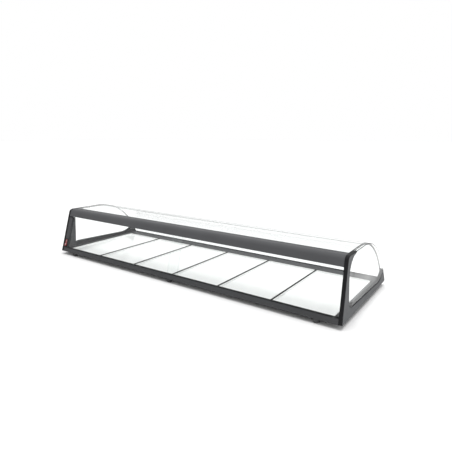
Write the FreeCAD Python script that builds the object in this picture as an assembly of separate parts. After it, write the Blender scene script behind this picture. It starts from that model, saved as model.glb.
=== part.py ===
"""Countertop hot food display case: six shallow trays on a heated base, under a curved glass.

Millimetres, +Z up. X runs along the case, the service side with the sliding doors faces -Y and the
curved glass faces +Y. The origin is on the standing surface, in the middle of the case's footprint.
Sections are drawn in the YZ plane with y measured from the front lower edge and z from the floor,
and every drawn outline is shifted back by half the depth when it becomes a solid.
"""
import FreeCAD, Part
import math
import os

# ---------------------------------------------------------------- driving dimensions
TRAY_COUNT = 6
TRAY_WIDTH = 174.4
TRAY_GAP = 0.8
TRAY_HEIGHT = 6.0
TRAY_WALL = 1.0
TRAY_CORNER = 7.0
DIVIDER_WIDTH = 4.0
DIVIDER_PROUD = 2.0
LEFT_RAIL_WIDTH = 19.5
RIGHT_RAIL_WIDTH = 14.5
SIDE_CLEARANCE = 0.5

DEPTH = 381.0
CASE_HEIGHT = 160.0
FOOT_HEIGHT = 12.0
END_THICK = 10.0
LEAN = math.radians(13.9)
TOP_CORNER_RADIUS = 16.0
GLASS_SLOPE = math.radians(63.5)
GLASS_TAIL = 39.0
GLASS_THICK = 5.0
NOSE_HEIGHT = 6.0

TRIM_THICK = 2.5
TRIM_PAST_CORNER = 60.4
POST_PAST_CORNER = 5.4
ARM_TIP_THICK = 1.5
ARM_TIP_SETBACK = 5.0
ARM_ROOT_THICK = 3.5
ARM_ARC_RADIUS = 57.0
ARM_ARC_ANGLE = math.radians(70)
POST_FOOT_RADIUS = 25.0
END_RAIL_FRONT = 22.3
END_RAIL_REAR = 15.0
UPSTAND_LENGTH = 81.0
GASKET_HEIGHT = 2.5
JOINT_THICK = 1.0

FACE_SETBACK = 0.4
FRONT_RAIL_DEPTH = 20.0
REAR_RAIL_DEPTH = 50.0
RAIL_TOP = 9.5
RAIL_WALL = 2.0
DUCT_WIDTH = 30.0
SEAT_HEIGHT = 8.0
SEAL_THICK = 2.0
SEAL_LEG = 1.2
SEAL_TOP = 11.5

DOOR_PLAY = 1.0
TRACK_WALL = 1.5
TRACK_FLOOR = 2.0
LOWER_TRACK_BASE = 8.0
LOWER_TRACK_TOP = 16.0
RAIL_LIP = 1.6
RAIL_LIP_TOP = 14.4

BEAM_FACE_DROP = 27.8
BEAM_SKIN = 2.0
BEAM_PAST_CORNER = 30.4
BEAM_SHELF = 14.0
BEAM_SHELF_THICK = 2.0
BEAM_REAR_DROP = 26.0
UPPER_TRACK_RISE = 1.0
UPPER_TRACK_DEPTH = 17.0
GLASS_SEAL = 1.0
GLASS_FRONT_GAP = 1.2

LAMP_PAST_CORNER = 16.4
LAMP_WIDTH = 12.0
LAMP_MOUTH_DROP = 22.0
LAMP_CEILING_DROP = 8.0
LED_THICK = 1.6
LED_WIDTH = 8.0
DIFFUSER_THICK = 2.0
LAMP_HOLDER_LENGTH = 12.0
LAMP_CLEARANCE = 0.2

DOOR_THICK = 4.0
DOOR_LAP = 50.0
DOOR_RUN = 1.3
DOOR_IN_TRACK = 10.0
DOOR_END_GAP = 0.5
DOOR_CORNER = 3.0
FINGER_HOLE = 24.0
FINGER_HOLE_INSET = 34.0
GLIDE_THICK = 1.0
GLIDE_PLAY = 0.3
GLIDE_LENGTH = 40.0
GLIDE_INSET = 30.0

HOUSING_WALL = 2.0
SWITCH_HEIGHT = 33.0
ROCKER_WIDTH = 12.0
ROCKER_HALF = 12.9
ROCKER_EDGE = 8.6
ROCKER_VALLEY = 6.8
ROCKER_TILT = -8.0
ROCKER_SIDE_GAP = 0.4
ROCKER_SWEEP_HALF = 14.4
PIVOT_DEPTH = 6.0
SWITCH_PIN = 2.0
PIN_CLEARANCE = 0.05
SWITCH_WALL = 1.2
SWITCH_BACK = 12.0
BEZEL_LIP = 1.0
BEZEL_PROUD = 1.6
CUTOUT_CLEARANCE = 0.2
BLADE_SIZE = (0.8, 4.8, 7.0)
THERMOSTAT_SIZE = (14.0, 12.0, 20.0)
THERMOSTAT_DROP = 81.0
THERMOSTAT_STEM = 6.0
TERMINAL_SIZE = (12.0, 13.0, 9.0)
TERMINAL_HOLE = 3.0

PAN_THICK = 1.0
PAN_DROP = 5.0
PAN_SIDE_INSET = 15.0
PAN_FRONT = 8.0
HEAT_PLATE_THICK = 2.0
HEAT_PLATE_TOP = 3.0
HEATER_THICK = 1.5
HEATER_COUNT = 3
HEATER_MARGIN = 12.0
HEATER_GAP = 20.0
PLATE_CLEARANCE = 0.4
CUTOFF_DIAMETER = 15.0
CUTOFF_CLEARANCE = 0.5

INLET_BORE = 7.6
INLET_SLEEVE = 9.6
INLET_FLANGE = 11.5
INLET_FLANGE_THICK = 2.0
INLET_SETBACK = 100.0
INLET_HEIGHT = 6.5
HARNESS_DIAMETER = 4.6
HARNESS_OFFSET = 6.5

FOOT_DIAMETER = 18.0
FOOT_INSET = 60.0
FOOT_FRONT = 12.0
FOOT_REAR = 20.0
FOOT_RECESS = 9.0
FOOT_RECESS_DEPTH = 5.0
SCREW_SHANK = 4.0
SCREW_HEAD = 7.5
SCREW_HEAD_HEIGHT = 3.0
SCREW_BITE = 4.0
SCREW_CLEARANCE = 0.1
STUD_DIAMETER = 4.0
STUD_CLEARANCE = 0.1
STUD_IN_FRAME = 7.0
STUD_IN_RAIL = 16.0
FRONT_STUD = (6.0, 3.2)
REAR_STUD_SETBACK = 10.0
REAR_STUD_HEIGHT = 4.0
BEAM_STUD_PAST_CORNER = 7.4
BEAM_STUD_DROP = 6.0

# ---------------------------------------------------------------- values that follow
BASE = FOOT_HEIGHT
TOP = BASE + CASE_HEIGHT
CORNER_Y = CASE_HEIGHT * math.tan(LEAN)
POST_REAR = CORNER_Y + POST_PAST_CORNER
TRIM_REACH = CORNER_Y + TRIM_PAST_CORNER
BEAM_REAR = CORNER_Y + BEAM_PAST_CORNER
BEAM_BOTTOM = CASE_HEIGHT / math.cos(LEAN) - BEAM_FACE_DROP
LAMP_FRONT = CORNER_Y + LAMP_PAST_CORNER
LAMP_REAR = LAMP_FRONT + LAMP_WIDTH
LAMP_MOUTH = TOP - LAMP_MOUTH_DROP
LAMP_CEILING = TOP - LAMP_CEILING_DROP
PITCH = TRAY_WIDTH + DIVIDER_WIDTH + 2 * TRAY_GAP
WELL_WIDTH = TRAY_COUNT * PITCH + 2 * SIDE_CLEARANCE
INNER = (WELL_WIDTH + LEFT_RAIL_WIDTH + RIGHT_RAIL_WIDTH) / 2
HALF = INNER + END_THICK
WELL_LEFT = -INNER + LEFT_RAIL_WIDTH
WELL_RIGHT = INNER - RIGHT_RAIL_WIDTH
WELL_MIDDLE = (WELL_LEFT + WELL_RIGHT) / 2
WELL_FRONT = FRONT_RAIL_DEPTH
WELL_REAR = DEPTH - REAR_RAIL_DEPTH
HOUSING_FACE = WELL_LEFT
TRACK_SLOT = DOOR_THICK + DOOR_PLAY
GLIDE_WIDTH = TRACK_SLOT - 2 * GLIDE_PLAY
ARC_DROP = CASE_HEIGHT - NOSE_HEIGHT - GLASS_TAIL * math.sin(GLASS_SLOPE)
ROOF_RADIUS = ARC_DROP / (1 - math.cos(GLASS_SLOPE))
ROOF_FLAT_END = DEPTH - GLASS_TAIL * math.cos(GLASS_SLOPE) - ROOF_RADIUS * math.sin(GLASS_SLOPE)
TRACK_FRONT = FACE_SETBACK + BEAM_SKIN
SLOT_ONE = TRACK_FRONT + TRACK_WALL
SLOT_TWO = SLOT_ONE + TRACK_SLOT + TRACK_WALL
TRACK_REAR = SLOT_TWO + TRACK_SLOT + TRACK_WALL
DOOR_BOTTOM = LOWER_TRACK_BASE + TRACK_FLOOR + DOOR_RUN
DOOR_TOP = BEAM_BOTTOM + DOOR_IN_TRACK
DOOR_SPAN = INNER - HOUSING_FACE - 2 * DOOR_END_GAP
DOOR_LENGTH = (DOOR_SPAN + DOOR_LAP) / 2
TRAY_LENGTH = WELL_REAR - WELL_FRONT - 2 * TRAY_GAP
TRAY_FOOT = BASE + HEAT_PLATE_TOP


def lean(s, n):
    """A point s up the leaning service face and n behind it, as (y, z)."""
    return (s * math.sin(LEAN) + n * math.cos(LEAN), BASE + s * math.cos(LEAN) - n * math.sin(LEAN))


def corner(offset, share):
    """A point on the rounded front top corner, offset inwards; share runs from 0 to 1."""
    reach = TOP_CORNER_RADIUS * math.tan((math.pi / 2 - LEAN) / 2)
    centre = (CORNER_Y + reach, TOP - TOP_CORNER_RADIUS)
    angle = math.pi - LEAN - share * (math.pi / 2 - LEAN)
    radius = TOP_CORNER_RADIUS - offset
    return (centre[0] + radius * math.cos(angle), centre[1] + radius * math.sin(angle))


def roof(offset, share):
    """A point on the curved part of the glass, offset inwards; share runs from 0 to 1."""
    angle = share * GLASS_SLOPE
    radius = ROOF_RADIUS - offset
    return (ROOF_FLAT_END + radius * math.sin(angle), TOP - ROOF_RADIUS + radius * math.cos(angle))


def tail(t, m):
    """A point t down the straight lower part of the glass line and m inside it."""
    y, z = roof(0, 1)
    return (y + t * math.cos(GLASS_SLOPE) - m * math.sin(GLASS_SLOPE),
            z - t * math.sin(GLASS_SLOPE) - m * math.cos(GLASS_SLOPE))


def tail_at(height, m):
    """How far down the glass line the offset line m reaches a height above the base."""
    return (roof(0, 1)[1] - m * math.cos(GLASS_SLOPE) - BASE - height) / math.sin(GLASS_SLOPE)


def vec(x, point):
    return FreeCAD.Vector(x, point[0] - DEPTH / 2, point[1])


class Outline:
    """A closed outline in the YZ plane, made of straight lines and arcs."""

    def __init__(self, start):
        self.first = start
        self.here = start
        self.edges = []

    def line(self, *points):
        for point in points:
            self.edges.append(Part.LineSegment(vec(0, self.here), vec(0, point)).toShape())
            self.here = point
        return self

    def arc(self, middle, end):
        self.edges.append(Part.Arc(vec(0, self.here), vec(0, middle), vec(0, end)).toShape())
        self.here = end
        return self

    def prism(self, x0, x1):
        self.line(self.first)
        face = Part.Face(Part.Wire(self.edges))
        solid = face.extrude(FreeCAD.Vector(x1 - x0, 0, 0))
        solid.translate(FreeCAD.Vector(x0, 0, 0))
        return solid


def box(x0, x1, y0, y1, z0, z1):
    return Part.makeBox(x1 - x0, y1 - y0, z1 - z0, FreeCAD.Vector(x0, y0 - DEPTH / 2, z0))


def lean_box(x0, x1, s0, s1, n0, n1):
    """A box squared to the leaning service face."""
    return Outline(lean(s0, n0)).line(lean(s1, n0), lean(s1, n1), lean(s0, n1)).prism(x0, x1)


def rod(point, direction, diameter, length):
    return Part.makeCylinder(diameter / 2, length, point, direction)


def along_x(x, y, z, diameter, length):
    return rod(vec(x, (y, z)), FreeCAD.Vector(1, 0, 0), diameter, length)


def upright(x, y, z, diameter, length):
    return rod(vec(x, (y, z)), FreeCAD.Vector(0, 0, 1), diameter, length)


def upright_edges(solid):
    """The vertical edges of a box."""
    return [e for e in solid.Edges if abs(e.tangentAt(e.FirstParameter).z) > 0.99]


def mirrored(solid):
    return solid.mirror(FreeCAD.Vector(0, 0, 0), FreeCAD.Vector(1, 0, 0))


def tangent_middle(start, slope, end):
    """The middle point of the arc that leaves start at a slope angle and ends at end."""
    dy, dz = end[0] - start[0], end[1] - start[1]
    normal = (-math.sin(slope), math.cos(slope))
    radius = (dy * dy + dz * dz) / (2 * (dy * normal[0] + dz * normal[1]))
    centre = (start[0] + radius * normal[0], start[1] + radius * normal[1])
    half = math.asin(math.hypot(dy, dz) / (2 * radius))
    angle = slope - math.pi / 2 + half
    return (centre[0] + radius * math.cos(angle), centre[1] + radius * math.sin(angle))


# ---------------------------------------------------------------- end frames, panels and trim
def post_foot():
    """Where the rounded foot of the post meets the end frame's lower rail."""
    return (POST_REAR + POST_FOOT_RADIUS, BASE + END_RAIL_FRONT)


def rail_end():
    """Where the end frame's lower rail starts to rise into the rear upstand."""
    return (DEPTH - UPSTAND_LENGTH, BASE + END_RAIL_REAR)


def rail_slope():
    start, end = post_foot(), rail_end()
    return math.atan2(end[1] - start[1], end[0] - start[0])


def lifted(point, height):
    slope = rail_slope()
    return (point[0] - height * math.sin(slope), point[1] + height * math.cos(slope))


def end_frame():
    arm_end = TRIM_REACH - ARM_TIP_SETBACK
    arm_z = TOP - TRIM_THICK
    turn = (1 - math.cos(ARM_ARC_ANGLE), math.sin(ARM_ARC_ANGLE))
    arc_foot = arm_z - ARM_ROOT_THICK - ARM_ARC_RADIUS * turn[1]
    arc_head = (POST_REAR + ARM_ARC_RADIUS * turn[0], arm_z - ARM_ROOT_THICK)
    half = ARM_ARC_ANGLE / 2
    arc_mid = (POST_REAR + ARM_ARC_RADIUS * (1 - math.cos(half)), arc_foot + ARM_ARC_RADIUS * math.sin(half))
    foot = post_foot()
    diagonal = POST_FOOT_RADIUS * (1 - math.sqrt(0.5))
    foot_mid = (POST_REAR + diagonal, foot[1] + diagonal)
    tip = roof(0, 1)
    shape = Outline((TRIM_THICK / math.cos(LEAN), BASE))
    shape.line(corner(TRIM_THICK, 0)).arc(corner(TRIM_THICK, 0.5), corner(TRIM_THICK, 1))
    shape.line((arm_end, arm_z), (arm_end, arm_z - ARM_TIP_THICK), arc_head)
    shape.arc(arc_mid, (POST_REAR, arc_foot)).line((POST_REAR, foot[1] + POST_FOOT_RADIUS))
    shape.arc(foot_mid, foot).line(rail_end()).arc(tangent_middle(rail_end(), rail_slope(), tip), tip)
    shape.line((DEPTH, BASE + NOSE_HEIGHT), (DEPTH, BASE))
    return shape.prism(INNER, HALF)


def end_trim():
    shape = Outline((0, BASE)).line(corner(0, 0)).arc(corner(0, 0.5), corner(0, 1))
    shape.line((TRIM_REACH, TOP), (TRIM_REACH, TOP - TRIM_THICK), corner(TRIM_THICK, 1))
    shape.arc(corner(TRIM_THICK, 0.5), corner(TRIM_THICK, 0)).line((TRIM_THICK / math.cos(LEAN), BASE))
    return shape.prism(INNER, HALF)


def end_outline():
    """The whole end of the case, from the front edge to the rear nose."""
    shape = Outline((0, BASE)).line(corner(0, 0)).arc(corner(0, 0.5), corner(0, 1))
    shape.line((ROOF_FLAT_END, TOP)).arc(roof(0, 0.5), roof(0, 1))
    shape.line((DEPTH, BASE + NOSE_HEIGHT), (DEPTH, BASE))
    return shape.prism(INNER, HALF)


def end_gasket():
    tip = roof(0, 1)
    start, end = post_foot(), rail_end()
    slope = rail_slope()
    high_end = lifted(end, GASKET_HEIGHT)
    high_tip = tail(-GASKET_HEIGHT, 0)
    shape = Outline(start).line(end).arc(tangent_middle(end, slope, tip), tip).line(high_tip)
    shape.arc(tangent_middle(high_end, slope, high_tip), high_end).line(lifted(start, GASKET_HEIGHT))
    return shape.prism(INNER, HALF).common(end_outline())


def end_panel():
    panel = end_outline().cut(end_frame()).cut(end_trim()).cut(end_gasket())
    return max(panel.Solids, key=lambda solid: solid.Volume)


# ---------------------------------------------------------------- curved glass and its seals
def glass_section():
    end = tail_at(SEAT_HEIGHT, 0)
    shape = Outline((BEAM_REAR + GLASS_FRONT_GAP, TOP)).line((ROOF_FLAT_END, TOP))
    shape.arc(roof(0, 0.5), roof(0, 1)).line(tail(end, 0), tail(end, GLASS_THICK), roof(GLASS_THICK, 1))
    shape.arc(roof(GLASS_THICK, 0.5), roof(GLASS_THICK, 0))
    return shape.line((BEAM_REAR + GLASS_FRONT_GAP, TOP - GLASS_THICK))


def curved_glass():
    return glass_section().prism(-INNER + JOINT_THICK, INNER - JOINT_THICK)


def glass_joint():
    return glass_section().prism(INNER - JOINT_THICK, INNER)


def glass_front_seal():
    front = BEAM_REAR
    shelf = TOP - GLASS_THICK - GLASS_SEAL
    shape = Outline((front, TOP)).line((front + GLASS_FRONT_GAP, TOP))
    shape.line((front + GLASS_FRONT_GAP, TOP - GLASS_THICK), (front + BEAM_SHELF, TOP - GLASS_THICK))
    return shape.line((front + BEAM_SHELF, shelf), (front, shelf)).prism(-INNER, INNER)


def glass_rear_seal():
    end = tail_at(SEAT_HEIGHT, 0)
    leg = GLASS_THICK + SEAL_LEG
    shape = Outline(tail(end, 0)).line(tail(end + SEAL_THICK, 0), tail(end + SEAL_THICK, leg))
    shape.line(tail(tail_at(SEAL_TOP, leg), leg), tail(tail_at(SEAL_TOP, leg), GLASS_THICK))
    return shape.line(tail(end, GLASS_THICK)).prism(-INNER, INNER)


# ---------------------------------------------------------------- rails of the base
def front_rail():
    rear = FRONT_RAIL_DEPTH
    shape = Outline((FACE_SETBACK / math.cos(LEAN), BASE)).line(lean(RAIL_LIP_TOP, FACE_SETBACK))
    shape.line(lean(RAIL_LIP_TOP, FACE_SETBACK + RAIL_LIP), lean(LOWER_TRACK_BASE, FACE_SETBACK + RAIL_LIP))
    track_heel = lean(LOWER_TRACK_BASE, TRACK_REAR)
    shape.line(track_heel, (rear, track_heel[1]), (rear, BASE))
    return shape.prism(HOUSING_FACE, INNER)


def lower_track():
    front = FACE_SETBACK + RAIL_LIP
    floor = LOWER_TRACK_BASE + TRACK_FLOOR
    shape = Outline(lean(LOWER_TRACK_BASE, front)).line(lean(RAIL_LIP_TOP, front))
    shape.line(lean(RAIL_LIP_TOP, FACE_SETBACK), lean(LOWER_TRACK_TOP, FACE_SETBACK))
    shape.line(lean(LOWER_TRACK_TOP, TRACK_REAR))
    track = shape.line(lean(LOWER_TRACK_BASE, TRACK_REAR)).prism(HOUSING_FACE, INNER)
    for slot in (SLOT_ONE, SLOT_TWO):
        track = track.cut(lean_box(HOUSING_FACE, INNER, floor, LOWER_TRACK_TOP, slot, slot + TRACK_SLOT))
    return track


def rear_rail():
    end = tail_at(SEAT_HEIGHT, 0) + SEAL_THICK
    leg = GLASS_THICK + SEAL_LEG
    shape = Outline((WELL_REAR, BASE)).line((WELL_REAR, BASE + RAIL_TOP), tail(tail_at(RAIL_TOP, leg), leg))
    shape.line(tail(end, leg), tail(end, 0), (DEPTH, BASE + NOSE_HEIGHT), (DEPTH, BASE))
    solid = shape.prism(-INNER, INNER)
    duct = box(-INNER, INNER, WELL_REAR + RAIL_WALL, WELL_REAR + RAIL_WALL + DUCT_WIDTH,
               BASE + RAIL_WALL, BASE + RAIL_TOP - RAIL_WALL)
    return solid.cut(duct)


def side_rail(inside, outside, front):
    """A channel between the well and an end frame, open towards the end frame."""
    wall = math.copysign(RAIL_WALL, outside - inside)
    solid = box(min(inside, outside), max(inside, outside), front, WELL_REAR, BASE, BASE + RAIL_TOP)
    hollow = (inside + wall, outside)
    low, high = BASE + RAIL_WALL, BASE + RAIL_TOP - RAIL_WALL
    return solid.cut(box(min(hollow), max(hollow), front, WELL_REAR, low, high))


# ---------------------------------------------------------------- top beam and lamp
def top_beam():
    shelf = TOP - GLASS_THICK - GLASS_SEAL
    shape = Outline(lean(BEAM_BOTTOM, FACE_SETBACK)).line(corner(FACE_SETBACK, 0))
    shape.arc(corner(FACE_SETBACK, 0.5), corner(FACE_SETBACK, 1)).line((BEAM_REAR, TOP - FACE_SETBACK))
    shape.line((BEAM_REAR, shelf), (BEAM_REAR + BEAM_SHELF, shelf))
    shape.line((BEAM_REAR + BEAM_SHELF, shelf - BEAM_SHELF_THICK), (BEAM_REAR, shelf - BEAM_SHELF_THICK))
    shape.line((BEAM_REAR, TOP - BEAM_REAR_DROP), lean(BEAM_BOTTOM, TRACK_REAR + RAIL_WALL))
    beam = shape.prism(-INNER, INNER)
    beam = beam.cut(lean_box(-INNER, INNER, 0, BEAM_BOTTOM + UPPER_TRACK_RISE + UPPER_TRACK_DEPTH,
                             TRACK_FRONT, TRACK_REAR))
    return beam.cut(box(-INNER, INNER, LAMP_FRONT, LAMP_REAR, BASE, LAMP_CEILING))


def upper_track():
    low = BEAM_BOTTOM + UPPER_TRACK_RISE
    high = low + UPPER_TRACK_DEPTH
    track = lean_box(HOUSING_FACE, INNER, low, high, TRACK_FRONT, TRACK_REAR)
    for slot in (SLOT_ONE, SLOT_TWO):
        track = track.cut(lean_box(HOUSING_FACE, INNER, low, high - TRACK_FLOOR, slot, slot + TRACK_SLOT))
    return track


def led_board():
    middle = (LAMP_FRONT + LAMP_REAR) / 2
    end = INNER - LAMP_HOLDER_LENGTH
    front, rear = middle - LED_WIDTH / 2, middle + LED_WIDTH / 2
    return box(-end, end, front, rear, LAMP_CEILING - LED_THICK, LAMP_CEILING)


def lamp_diffuser():
    end = INNER - LAMP_HOLDER_LENGTH
    front, rear = LAMP_FRONT + LAMP_CLEARANCE, LAMP_REAR - LAMP_CLEARANCE
    return box(-end, end, front, rear, LAMP_MOUTH, LAMP_MOUTH + DIFFUSER_THICK)


def lamp_holder():
    start = INNER - LAMP_HOLDER_LENGTH
    return box(start, INNER, LAMP_FRONT, LAMP_REAR, LAMP_MOUTH, LAMP_CEILING)


# ---------------------------------------------------------------- sliding doors
def door(x0, slot, finger_x):
    n0 = slot + (TRACK_SLOT - DOOR_THICK) / 2
    panel = lean_box(x0, x0 + DOOR_LENGTH, DOOR_BOTTOM, DOOR_TOP, n0, n0 + DOOR_THICK)
    normal = FreeCAD.Vector(0, math.cos(LEAN), -math.sin(LEAN))
    short = [e for e in panel.Edges if abs(e.Length - DOOR_THICK) < 0.01]
    panel = panel.makeFillet(DOOR_CORNER, short)
    hole_centre = vec(finger_x, lean((DOOR_BOTTOM + DOOR_TOP) / 2, n0 - DOOR_THICK))
    return panel.cut(rod(hole_centre, normal, FINGER_HOLE, 3 * DOOR_THICK))


def door_glides(x0, slot):
    n0 = slot + (TRACK_SLOT - GLIDE_WIDTH) / 2
    low = DOOR_BOTTOM - GLIDE_THICK
    pads = []
    for x in (x0 + GLIDE_INSET, x0 + DOOR_LENGTH - GLIDE_INSET - GLIDE_LENGTH):
        pads.append(lean_box(x, x + GLIDE_LENGTH, low, DOOR_BOTTOM, n0, n0 + GLIDE_WIDTH))
    return Part.makeCompound(pads)


# ---------------------------------------------------------------- control housing and switch
SWITCH_X = (-INNER + HOUSING_FACE - HOUSING_WALL) / 2
PIVOT_N = FACE_SETBACK + PIVOT_DEPTH


def switch_box(half_x, half_s, w0, w1):
    """A box centred on the switch; w is the distance in front of the pivot."""
    return lean_box(SWITCH_X - half_x, SWITCH_X + half_x, SWITCH_HEIGHT - half_s, SWITCH_HEIGHT + half_s,
                    PIVOT_N - w1, PIVOT_N - w0)


def housing_section(wall, x0, x1, low, high):
    front = FACE_SETBACK + wall
    rear = POST_REAR - wall
    start = (low - BASE + front * math.sin(LEAN)) / math.cos(LEAN)
    end = (high - BASE + front * math.sin(LEAN)) / math.cos(LEAN)
    return Outline(lean(start, front)).line(lean(end, front), (rear, high), (rear, low)).prism(x0, x1)


def control_housing():
    high = lean(BEAM_BOTTOM, TRACK_REAR + RAIL_WALL)[1]
    solid = housing_section(0, -INNER, HOUSING_FACE, BASE, high)
    inside = housing_section(HOUSING_WALL, -INNER, HOUSING_FACE - HOUSING_WALL,
                             BASE + HOUSING_WALL, high - HOUSING_WALL)
    solid = solid.cut(inside)
    cut_x = ROCKER_WIDTH / 2 + ROCKER_SIDE_GAP + SWITCH_WALL + CUTOUT_CLEARANCE
    cut_s = ROCKER_SWEEP_HALF + SWITCH_WALL + CUTOUT_CLEARANCE
    solid = solid.cut(switch_box(cut_x, cut_s, PIVOT_DEPTH - 2 * HOUSING_WALL, PIVOT_DEPTH + HOUSING_WALL))
    wire = HARNESS_DIAMETER + 2 * CUTOUT_CLEARANCE
    hole = rod(vec(-INNER + HARNESS_OFFSET, (POST_REAR - 2 * HOUSING_WALL, harness_z())),
               FreeCAD.Vector(0, 1, 0), wire, 3 * HOUSING_WALL)
    return solid.cut(hole)


def switch_frame():
    half_x = ROCKER_WIDTH / 2 + ROCKER_SIDE_GAP
    body = switch_box(half_x + SWITCH_WALL, ROCKER_SWEEP_HALF + SWITCH_WALL, -SWITCH_BACK, PIVOT_DEPTH)
    lip = switch_box(half_x + SWITCH_WALL + BEZEL_LIP, ROCKER_SWEEP_HALF + SWITCH_WALL + BEZEL_LIP,
                     PIVOT_DEPTH, PIVOT_DEPTH + BEZEL_PROUD)
    cavity = switch_box(half_x, ROCKER_SWEEP_HALF, -SWITCH_BACK / 2, PIVOT_DEPTH + BEZEL_PROUD)
    return body.fuse(lip).removeSplitter().cut(cavity).cut(switch_pin())


def switch_pin():
    length = ROCKER_WIDTH + 2 * ROCKER_SIDE_GAP + 2 * SWITCH_WALL
    return along_x(SWITCH_X - length / 2, *lean(SWITCH_HEIGHT, PIVOT_N), SWITCH_PIN, length)


def switch_rocker():
    """The rocker, drawn level and then tilted so that its top is pressed in, which is on."""
    def at(s, w):
        return lean(SWITCH_HEIGHT + s, PIVOT_N - w)
    shape = Outline(at(-ROCKER_HALF, -SWITCH_PIN)).line(at(ROCKER_HALF, -SWITCH_PIN))
    shape.line(at(ROCKER_HALF, ROCKER_EDGE), at(0, ROCKER_VALLEY), at(-ROCKER_HALF, ROCKER_EDGE))
    x0 = SWITCH_X - ROCKER_WIDTH / 2
    rocker = shape.prism(x0, x0 + ROCKER_WIDTH)
    bore = along_x(x0, *lean(SWITCH_HEIGHT, PIVOT_N), SWITCH_PIN + 2 * PIN_CLEARANCE, ROCKER_WIDTH)
    rocker = rocker.cut(bore)
    rocker.rotate(vec(0, lean(SWITCH_HEIGHT, PIVOT_N)), FreeCAD.Vector(1, 0, 0), ROCKER_TILT)
    return rocker


def switch_terminals():
    thick, width, reach = BLADE_SIZE
    x0, x1 = SWITCH_X - width / 2, SWITCH_X + width / 2
    back = PIVOT_N + SWITCH_BACK
    blades = []
    for step in (-1, 0, 1):
        s = SWITCH_HEIGHT + step * ROCKER_SWEEP_HALF / 2
        blades.append(lean_box(x0, x1, s - thick / 2, s + thick / 2, back, back + reach))
    return Part.makeCompound(blades)


def thermostat():
    wide, deep, high = THERMOSTAT_SIZE
    y = POST_REAR - HOUSING_WALL - deep
    z = TOP - THERMOSTAT_DROP
    block = box(-INNER, -INNER + wide, y, y + deep, z, z + high)
    stem = upright(-INNER + wide / 2, y + deep / 2, z + high, THERMOSTAT_STEM, THERMOSTAT_STEM)
    return block.fuse(stem)


def terminal_block():
    wide, deep, high = TERMINAL_SIZE
    y = POST_REAR - HOUSING_WALL - deep
    z = BASE + HOUSING_WALL
    block = box(-INNER, -INNER + wide, y, y + deep, z, z + high)
    for share in (0.25, 0.75):
        hole = upright(-INNER + wide * share, y + TERMINAL_HOLE, z + HOUSING_WALL, TERMINAL_HOLE, high)
        block = block.cut(hole)
    return block


def harness_z():
    return BASE + RAIL_TOP / 2


def inlet_y():
    return DEPTH - INLET_SETBACK


def wire_harness():
    """The inner lead from the inlet bush, along the left side rail, to the terminal block."""
    x = -INNER + HARNESS_OFFSET
    y = inlet_y() - INLET_SLEEVE
    z = harness_z()
    end = POST_REAR - HOUSING_WALL
    return rod(vec(x, (end, z)), FreeCAD.Vector(0, 1, 0), HARNESS_DIAMETER, y - end)


def inlet_bush():
    y, z = inlet_y(), BASE + INLET_HEIGHT
    flange = along_x(-HALF, y, z, INLET_FLANGE, INLET_FLANGE_THICK)
    sleeve = along_x(-HALF, y, z, INLET_SLEEVE, END_THICK)
    bush = flange.fuse(sleeve).removeSplitter()
    return bush.cut(along_x(-HALF, y, z, INLET_BORE, END_THICK))


# ---------------------------------------------------------------- heated base and trays
def bottom_pan():
    """A folded sheet: a flange under the rails and a shallow drop that holds the heaters."""
    side = INNER - PAN_THICK
    flange = box(-side, side, PAN_FRONT, DEPTH - PAN_FRONT, BASE - PAN_THICK, BASE)
    drop = box(*drop_x(0), *drop_y(0), BASE - PAN_DROP, BASE)
    inside = box(*drop_x(PAN_THICK), *drop_y(PAN_THICK), BASE - PAN_DROP + PAN_THICK, BASE)
    pan = flange.fuse(drop).removeSplitter().cut(inside)
    for x, y in foot_places():
        pan = pan.cut(upright(x, y, BASE - PAN_THICK, SCREW_SHANK + 2 * SCREW_CLEARANCE, PAN_THICK))
    return pan


def drop_x(inset):
    return (WELL_LEFT + PAN_SIDE_INSET + inset, WELL_RIGHT - PAN_SIDE_INSET - inset)


def drop_y(inset):
    return (WELL_FRONT + PAN_THICK + inset, WELL_REAR - PAN_THICK - inset)


def cutoff_pocket():
    """The space that the overheat cut-off takes out of the insulation and the middle heater."""
    middle = (WELL_FRONT + WELL_REAR) / 2
    width = CUTOFF_DIAMETER + 2 * CUTOFF_CLEARANCE
    return upright(WELL_MIDDLE, middle, BASE - PAN_DROP, width, PAN_DROP + HEAT_PLATE_TOP)


def heater_bottom():
    return BASE + HEAT_PLATE_TOP - HEAT_PLATE_THICK - HEATER_THICK


def insulation():
    slab = box(*drop_x(PAN_THICK), *drop_y(PAN_THICK), BASE - PAN_DROP + PAN_THICK, heater_bottom())
    return slab.cut(cutoff_pocket())


def heater_mat(index):
    low, high = drop_x(HEATER_MARGIN)
    y0, y1 = drop_y(HEATER_MARGIN)
    width = (high - low - (HEATER_COUNT - 1) * HEATER_GAP) / HEATER_COUNT
    x = low + index * (width + HEATER_GAP)
    mat = box(x, x + width, y0, y1, heater_bottom(), heater_bottom() + HEATER_THICK)
    return mat.cut(cutoff_pocket())


def overheat_cutoff():
    foot = BASE - PAN_DROP + PAN_THICK
    height = BASE + HEAT_PLATE_TOP - HEAT_PLATE_THICK - foot
    return upright(WELL_MIDDLE, (WELL_FRONT + WELL_REAR) / 2, foot, CUTOFF_DIAMETER, height)


def heat_plate():
    gap = PLATE_CLEARANCE
    low, high = BASE + HEAT_PLATE_TOP - HEAT_PLATE_THICK, BASE + HEAT_PLATE_TOP
    return box(WELL_LEFT + gap, WELL_RIGHT - gap, WELL_FRONT + gap, WELL_REAR - gap, low, high)


def divider(index):
    x = WELL_MIDDLE + (index - (TRAY_COUNT - 2) / 2) * PITCH
    gap = PLATE_CLEARANCE
    half = DIVIDER_WIDTH / 2
    top = TRAY_FOOT + TRAY_HEIGHT + DIVIDER_PROUD
    return box(x - half, x + half, WELL_FRONT + gap, WELL_REAR - gap, TRAY_FOOT, top)


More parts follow.
